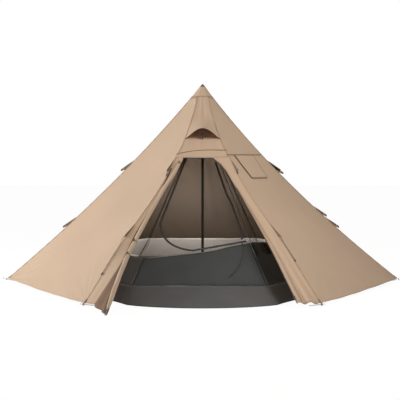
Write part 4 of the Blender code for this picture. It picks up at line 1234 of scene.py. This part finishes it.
def make_ties():
    """Each tie goes twice round the roll and is held by its toggle."""
    centres, radii = roll_middle()
    table = list(enumerate(radii))
    for label, place in zip(("upper", "middle", "lower"), roll_tie_places):
        first = round(place * 8)
        centre, along = centres[first], (centres[first + 1] - centres[first - 1]).normalized()
        out = Vector((-0.15, -0.72, 0.68))
        out = (out - along * out.dot(along)).normalized()
        side = along.cross(out)
        radius = straight_value(table, place * 8) * 0.93 + 0.0016
        line = []
        for k in range(49):
            turn = math.tau * k / 24
            spoke = out * math.cos(turn) + side * math.sin(turn)
            line.append(centre + spoke * radius + along * (0.005 * (k / 48 - 0.5)))
        add_tube(f"tie_cord_{label}", line, 0.0016, "cord", stands_for=(f"tie_{label}",), slot="toggle_wood")
        add_copy(f"tie_toggle_{label}", "toggle", centre + out * (radius + 0.0052), along, "wood")


def make_door_zip():
    dress_nodes({"door_zip_slider": "slider"})
    chain = zip_mesh("door_zip_chain", outer_zip_line, front_out, 0.0032)
    add_piece("door_zip_chain", chain, "coil", stands_for=("door_zip",), slot="zip_tape")
    line = [point + Vector((0.006, 0.003, -0.002)) for point in smooth_line(outer_zip_line[:9], 5)]
    add_tape("door_zip_tape", line, front_out, 0.010, -0.004, "coil")


# Guy cords
def make_guy_cords():
    """Each front ridge has a short cord at its upper loop and a longer one at its lower loop."""
    diameter = bpy.context.scene.tent_sizes.cord_diameter
    for name, lengths in (("front_left", (0.11, 0.52)), ("front_right", (0.085, 0.36))):
        for label, height, length in zip(("upper", "lower"), guy_heights, lengths):
            top, low, tip, across, up = guy_plane(name, height)
            exit_point = low.lerp(top, 0.5).lerp(tip, eyelet_share) - up * 0.006
            points = [exit_point, exit_point - up * 0.012 - outward(name) * 0.004]
            count = 10 if length > 0.2 else 6
            for i in range(1, count + 1):
                down = height - 0.05 - (length - 0.04) * 0.66 * i / count
                lift = 0.007 + 0.03 * max(0, 1 - i / (count / 4))
                points.append(ridge_point(name, down) + ridge_normal(name, down) * lift)
            line = smooth_line(points, 4)
            cord = add_tube(f"guy_cord_{label}_{name}", line, diameter / 2, "cord")
            knob = add_copy(f"guy_toggle_{label}_{name}", "toggle", line[-1], line[-2] - line[-1], "plastic")
            line_length(line)
            [tuple(point) for point in line]


# Inner tent
def inner_row_place(left, right, low, high, seed):
    """The function of a flat side of the inner tent, up to a height or to a function of the place across."""

    def place(across, up):
        height = low + ((high(across) if callable(high) else high) - low) * up
        start, end = inner_point(left, height), inner_point(right, height)
        along = (end - start).normalized()
        rise = (inner_point(left, height + 0.005) - start).normalized()
        normal = along.cross(rise).normalized()
        point = (start + along * 0.004).lerp(end - along * 0.004, across)
        push = 0.004 * wave(across * (end - start).length, height, seed, 0.3) * arch(across) ** 0.5
        return point + normal * push

    return place


def band_tops(name):
    """Height of a band's top edge, or its function of the place across."""
    if name == "front":
        return lambda across: smooth_value(band_edge_line, across)
    if name == "right_front":
        return lambda across: 0.500 - 0.07 * across if across < 0.3 else 0.479 - 0.141 * (across - 0.3)
    if name == "left_front":
        return lambda across: band_height - 0.03 * max(across - 0.4, 0.0)
    return band_height


def front_band_place(flat):
    """The front band hangs slack: creased at its foot and a little forward."""

    def place(across, up):
        creases = 0.004 * math.sin(across * 31 + up * 5) * (1 - up) * arch(across)
        return flat(across, up) - Vector((0, 0.003 + creases, 0))

    return place


def make_inner_bands():
    for i, (left, name) in enumerate(zip(ridge_names, inner_sides)):
        right = ridge_names[(i + 1) % 6]
        place = inner_row_place(left, right, rim_height + 0.0025, band_tops(name), 60 + i)
        if name == "front":
            place = front_band_place(place)
            line = [place(0.03 + 0.94 * k / 60, 1.0) for k in range(61)]
        # The left front band takes the lighter grey, which is painted light
        kind = "back_band" if "back" in name else "side_band" if name == "left_front" else "band"
        cloth = {"slot": "grey_cloth", "rests_on": ["groundsheet_tray"]}
        add_cloth(f"band_cloth_{name}", [(48, 12, place)], kind, (f"inner_band_{name}",), **cloth)
        if name == "front":
            add_tape("band_piping", line, band_out, 0.007, 0.0025, "piping")
            seam = smooth_line([inner_front(x, z, 0.008) for x, z in band_seam_line], 6)
            add_tape("band_curved_seam", seam, band_out, 0.009, 0.002, "inner_tape")


def tray_place(across, up):
    """The groundsheet: a flat floor and a low wall in one cloth, its front edge bowed forward."""
    first, share = side_of(across)
    climb = max(0.0, (up - 0.6) / 0.4)
    height = 0.002 + (rim_height - 0.003) * climb
    start, end = inner_point(ridge_names[first], height), inner_point(ridge_names[(first + 1) % 6], height)
    point = start.lerp(end, share)
    if inner_sides[first] == "front":
        point.y -= tray_bow * math.sin(math.pi * share) ** tray_bow_power * (1 - climb)
    point.z = height
    if up < 0.6:
        point.x *= up / 0.6
        point.y *= up / 0.6
    else:
        out = Vector((point.x, point.y, 0)).normalized()
        point += out * (0.005 * math.sin(share * 23 + first) * arch(share) * math.sin(math.pi * climb) - 0.003)
        point += out * 0.004 * noise.noise(Vector((across * 40, climb * 3, 2.0))) * math.sin(math.pi * climb)
    return point


def make_groundsheet():
    place = {"slot": "groundsheet", "held": "laid", "rests_on": ["ground"], "wall": 0.0015}
    add_cloth("groundsheet_cloth", [(120, 36, tray_place)], "floor", ("groundsheet_tray",), **place)


def door_edge(table, height):
    """Place across of the inner door's edge at a height."""
    return straight_value([(h, x) for x, h in table], clamp(height, table[0][1], table[-1][1]))


def inner_front(x, height, out=0.0):
    """A point of the inner tent's front, lifted off it by a distance."""
    return Vector((x, inner_point("front_right", height).y, height)) + inner_out * (out - 0.001)


def make_front_net():
    """The front net round its door, and the door that turns in it."""
    low, high = inner_door_left[0][1], inner_door_left[-1][1]
    top = collar_height - collar_gap

    def seam(side, height):
        name = "front_right" if side > 0 else "front_left"
        return side * (abs(inner_point(name, height).x) - 0.004)

    def beside(table, side):
        def place(across, up):
            height = low + (high - low) * up
            edge = door_edge(table, height)
            share = across if side > 0 else 1 - across
            return inner_front(edge + (seam(side, height) - edge) * share, height)

        return place

    def level(bottom, ceiling):
        def place(across, up):
            height = bottom + (ceiling - bottom) * up
            start, end = seam(-1, height), seam(1, height)
            return inner_front(start + (end - start) * across, height)

        return place

    patches = [
        (8, 40, beside(inner_door_left, -1)),
        (8, 40, beside(inner_door_right, 1)),
        (16, 2, level(band_height, low)),
        (16, 10, level(high, top)),
    ]
    place = {"slot": "net", "rests_on": ["pole_upper"], "wall": net_wall}
    add_cloth("net_front", patches, "net", ("inner_net_front",), **place)

    def door(across, up):
        height = low + 0.004 + (high - 0.006 - low) * up
        left, right = door_edge(inner_door_left, height) + 0.004, door_edge(inner_door_right, height) - 0.002
        return inner_front(left + (right - left) * across, height)

    place = {"body": "inner_door", "slot": "net", "held": "hung"}
    place |= {"rests_on": ["inner_net_front"], "wall": net_wall}
    add_cloth("net_inner_door", [(24, 40, door)], "net", ("inner_door",), **place)


def make_nets():
    for i, (left, name) in enumerate(zip(ridge_names, inner_sides)):
        if name != "front":
            right = ridge_names[(i + 1) % 6]
            patch = (24, 40, inner_row_place(left, right, band_height, collar_height - collar_gap, 80 + i))
            cloth = {"slot": "net", "rests_on": ["pole_upper"], "wall": net_wall}
            add_cloth(f"net_{name}", [patch], "net", (f"inner_net_{name}",), **cloth)
    make_front_net()


def make_inner_tapes():
    """Tapes on the inner ridges with their collar and straps, and the zip round the inner door."""
    sizes = bpy.context.scene.tent_sizes
    meshes = []
    for name in ridge_names:
        heights = [rim_height + (collar_height - rim_height) * i / 30 for i in range(31)]
        line = [inner_point(name, height) for height in heights]
        width = sizes.inner_tape_width * {"front_right": 0.5, "front_left": 0.35}.get(name, 1.0)
        meshes.append(tape_mesh("ridge", line, outward(name), width, 0.002, 0.0012, 0.003))
    reach = inner_point("right", collar_height).x
    for drop in (0.006, 0.0, -0.006):
        ring = [Vector((math.cos(t) * reach, math.sin(t) * reach, collar_height - drop)) for t in turns(24)]
        meshes.append(tube_mesh("collar", ring, 0.0042, 8, closed=True))
    for name in ("right", "left"):
        start = inner_point(name, collar_height)
        end = ridge_point(name, cap_seam_height) - outward(name) * 0.016
        line = [start.lerp(end, k / 4) for k in range(5)]
        meshes.append(tape_mesh("strap", line, outward(name), 0.012, 0.001, 0.0016))
    webbing = joined("inner_tent_webbing", meshes)
    add_piece("inner_tent_webbing", webbing, "inner_tape", stands_for=("inner_webbing",), slot="dark_webbing")
    first, *middle, last = [Vector(point) for point in inner_zip_line]
    line = [first] + smooth_line(middle, 4) + [last]
    add_tape("inner_zip_tape", line, inner_out, sizes.zip_tape_width, 0.0040, "inner_tape", 0.0008)
    chain = zip_mesh("inner_zip_chain", [point + inner_out * 0.0030 for point in line], inner_out, 0.0032)
    add_piece("inner_zip_chain", chain, "coil", stands_for=("inner_zip",), slot="zip_tape")
    line = smooth_line([inner_front(x, z, 0.004) for x, z in door_side_line], 5)
    add_tape(
        "inner_door_side_tape", line, inner_out, 0.020, 0.002, "inner_tape", 0.0012, 0.002, body="inner_door"
    )
    dress_nodes({"inner_zip_slider": "slider"})


def make_pole():
    dress_nodes({f"pole_{part}": "pole" for part in ("lower", "middle", "upper")})
    dress_nodes({"pole_foot": "rubber", "pole_plug": "rubber"})


# Studio
def seen_rays(tree):
    """One for rays that the camera sees straight, in a reflection or through the net, else nought."""
    rays = add_node(tree, "ShaderNodeLightPath").outputs
    seen = maths(tree, "MAXIMUM", rays["Is Camera Ray"], rays["Is Glossy Ray"])
    return maths(tree, "MAXIMUM", seen, rays["Is Transmission Ray"])


def pale_floor_material():
    # Pale seamless paper: white to the camera, and it keeps a faint shadow of the tent.
    material, tree, shader = start_material("seamless_paper", (1.0, 1.0, 1.0), 0.95)
    out = next(node for node in tree.nodes if node.type == "OUTPUT_MATERIAL")
    part = maths(tree, "MULTIPLY", seen_rays(tree), 0.9)
    white = add_node(tree, "ShaderNodeEmission", values={"Color": (1, 1, 1, 1), "Strength": 1.05})
    links = {0: part, 1: shader.outputs[0], 2: white.outputs[0]}
    tree.links.new(add_node(tree, "ShaderNodeMixShader", links=links).outputs[0], out.inputs["Surface"])
    return material


def link_object(name, data, place):
    """Put a light or a camera in the scene at a place."""
    made = bpy.data.objects.new(name, data)
    bpy.context.scene.collection.objects.link(made)
    made.location = place
    return made


def add_light(name, place, target, size, power, colour=(1, 1, 1)):
    data = bpy.data.lights.new(name, "AREA")
    data.color = colour
    data.shape, data.size, data.energy = "DISK", size, power
    light = link_object(name, data, place)
    light.rotation_euler = (Vector(target) - Vector(place)).to_track_quat("-Z", "Y").to_euler()
    light.visible_camera = False


def make_stage():
    bpy.ops.object.select_all(action="DESELECT")
    bpy.ops.mesh.primitive_plane_add(size=60, location=(0, 12, -0.001))
    floor = bpy.context.object
    floor.name = "studio_floor"
    floor.data.materials.append(pale_floor_material())
    world = bpy.data.worlds.new("studio_light")
    bpy.context.scene.world = world
    world.use_nodes = True
    tree = world.node_tree
    tree.nodes.clear()
    soft = add_node(tree, "ShaderNodeBackground", values={"Color": (1.0, 0.955, 0.92, 1), "Strength": 0.31})
    white = add_node(tree, "ShaderNodeBackground", values={"Color": (1, 1, 1, 1), "Strength": 1.0})
    links = {0: seen_rays(tree), 1: soft.outputs[0], 2: white.outputs[0]}
    mixed = add_node(tree, "ShaderNodeMixShader", links=links)
    out = add_node(tree, "ShaderNodeOutputWorld")
    tree.links.new(mixed.outputs[0], out.inputs["Surface"])
    add_light("key_light", (-7.5, -2.0, 2.6), (0, 0, 0.8), 3.5, 384)
    add_light("fill_light", (1.6, -2.6, 3.0), (0.7, -0.5, 0.8), 1.2, 44, (1.0, 0.94, 0.90))
    # Daylight reaches the inside through the canvas; this lamp gives that light
    glow = bpy.data.lights.new("daylight_through_canvas", "POINT")
    glow.energy, glow.shadow_soft_size = 42, 0.15
    lamp = link_object("daylight_through_canvas", glow, (-0.12, 0.22, 0.50))
    lamp.visible_camera = False
    lamp.visible_glossy = False
    camera = bpy.data.cameras.new("photo_camera")
    camera.lens, camera.sensor_width = 85.3, 36.0
    holder = link_object("photo_camera", camera, (0.0, -9.7, 1.235))
    holder.rotation_euler = (math.radians(90 - 2.25), 0.0, math.radians(0.157))
    bpy.context.scene.camera = holder
    bpy.context.scene.view_settings.view_transform = "Standard"


# Operators
class TENT_OT_side_panels(bpy.types.Operator):
    """Make the five closed sides of the canopy"""

    bl_idname = "tent.side_panels"
    bl_label = "Side panels"

    def execute(self, context):
        make_side_panels()
        return {"FINISHED"}


class TENT_OT_front_cloth(bpy.types.Operator):
    """Make the door strips, the header and the vent panel"""

    bl_idname = "tent.front_cloth"
    bl_label = "Front cloth"

    def execute(self, context):
        make_front_cloth()
        return {"FINISHED"}


class TENT_OT_vent(bpy.types.Operator):
    """Make the vent's hood, its netting and its prop"""

    bl_idname = "tent.vent"
    bl_label = "Vent"

    def execute(self, context):
        make_vent()
        return {"FINISHED"}


class TENT_OT_cap(bpy.types.Operator):
    """Make the cap over the pole's end"""

    bl_idname = "tent.cap"
    bl_label = "Cap"

    def execute(self, context):
        make_cap()
        return {"FINISHED"}


class TENT_OT_seams(bpy.types.Operator):
    """Make the ridge seams, guy loops, corner rings and pegs"""

    bl_idname = "tent.seams"
    bl_label = "Seams and pegs"

    def execute(self, context):
        make_seams()
        return {"FINISHED"}


class TENT_OT_stove_jack(bpy.types.Operator):
    """Make the stove-pipe patch and its flap"""

    bl_idname = "tent.stove_jack"
    bl_label = "Stove jack"

    def execute(self, context):
        make_stove_jack()
        return {"FINISHED"}


class TENT_OT_door_roll(bpy.types.Operator):
    """Make the rolled door and its slack web"""

    bl_idname = "tent.door_roll"
    bl_label = "Rolled door"

    def execute(self, context):
        make_door_roll()
        return {"FINISHED"}


class TENT_OT_door_zip(bpy.types.Operator):
    """Make the outer door's zip"""

    bl_idname = "tent.door_zip"
    bl_label = "Outer zip"

    def execute(self, context):
        make_door_zip()
        return {"FINISHED"}


class TENT_OT_guy_cords(bpy.types.Operator):
    """Make the cords and toggles on the front ridges"""

    bl_idname = "tent.guy_cords"
    bl_label = "Guy cords"

    def execute(self, context):
        make_guy_cords()
        return {"FINISHED"}


class TENT_OT_groundsheet(bpy.types.Operator):
    """Make the groundsheet with its low wall"""

    bl_idname = "tent.groundsheet"
    bl_label = "Groundsheet"

    def execute(self, context):
        make_groundsheet()
        return {"FINISHED"}


class TENT_OT_inner_bands(bpy.types.Operator):
    """Make the cloth bands above the groundsheet"""

    bl_idname = "tent.inner_bands"
    bl_label = "Inner bands"

    def execute(self, context):
        make_inner_bands()
        return {"FINISHED"}


class TENT_OT_inner_nets(bpy.types.Operator):
    """Make the netting and the inner door"""

    bl_idname = "tent.inner_nets"
    bl_label = "Inner nets"

    def execute(self, context):
        make_nets()
        return {"FINISHED"}


class TENT_OT_inner_tapes(bpy.types.Operator):
    """Make the inner tent's tapes and zip"""

    bl_idname = "tent.inner_tapes"
    bl_label = "Inner tapes"

    def execute(self, context):
        make_inner_tapes()
        return {"FINISHED"}


class TENT_OT_pole(bpy.types.Operator):
    """Finish the pole, its foot and its plug"""

    bl_idname = "tent.pole"
    bl_label = "Pole"

    def execute(self, context):
        make_pole()
        return {"FINISHED"}


class TENT_OT_stage(bpy.types.Operator):
    """Make the floor, the light and the camera"""

    bl_idname = "tent.stage"
    bl_label = "Studio"

    def execute(self, context):
        make_stage()
        return {"FINISHED"}


piece_operators = (
    TENT_OT_stage,
    TENT_OT_guy_cords,
    TENT_OT_side_panels,
    TENT_OT_front_cloth,
    TENT_OT_vent,
    TENT_OT_cap,
    TENT_OT_seams,
    TENT_OT_stove_jack,
    TENT_OT_door_roll,
    TENT_OT_door_zip,
    TENT_OT_groundsheet,
    TENT_OT_inner_bands,
    TENT_OT_inner_nets,
    TENT_OT_inner_tapes,
    TENT_OT_pole,
)


class TENT_PT_panel(bpy.types.Panel):
    """Lists the tent's pieces and its settings"""

    bl_idname = "TENT_PT_panel"
    bl_label = "Hot Tent"
    bl_space_type = "VIEW_3D"
    bl_region_type = "UI"
    bl_category = "Tent"

    def draw(self, context):
        for settings in (context.scene.tent_sizes, context.scene.tent_colours):
            column = self.layout.column(align=True)
            for name in settings.__annotations__:
                column.prop(settings, name)
        column = self.layout.column(align=True)
        for operator in piece_operators:
            column.operator(operator.bl_idname)


classes = (TentSizes, TentColours, *piece_operators, TENT_PT_panel)


def register():
    for each in classes:
        bpy.utils.register_class(each)
    bpy.types.Scene.tent_sizes = bpy.props.PointerProperty(type=TentSizes)
    bpy.types.Scene.tent_colours = bpy.props.PointerProperty(type=TentColours)


def unregister():
    del bpy.types.Scene.tent_colours
    del bpy.types.Scene.tent_sizes
    for each in reversed(classes):
        bpy.utils.unregister_class(each)


def main():
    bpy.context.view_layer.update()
    register()
    for operator in piece_operators:
        group, name = operator.bl_idname.split(".")
        getattr(getattr(bpy.ops, group), name)()


if __name__ == "__main__":
    main()
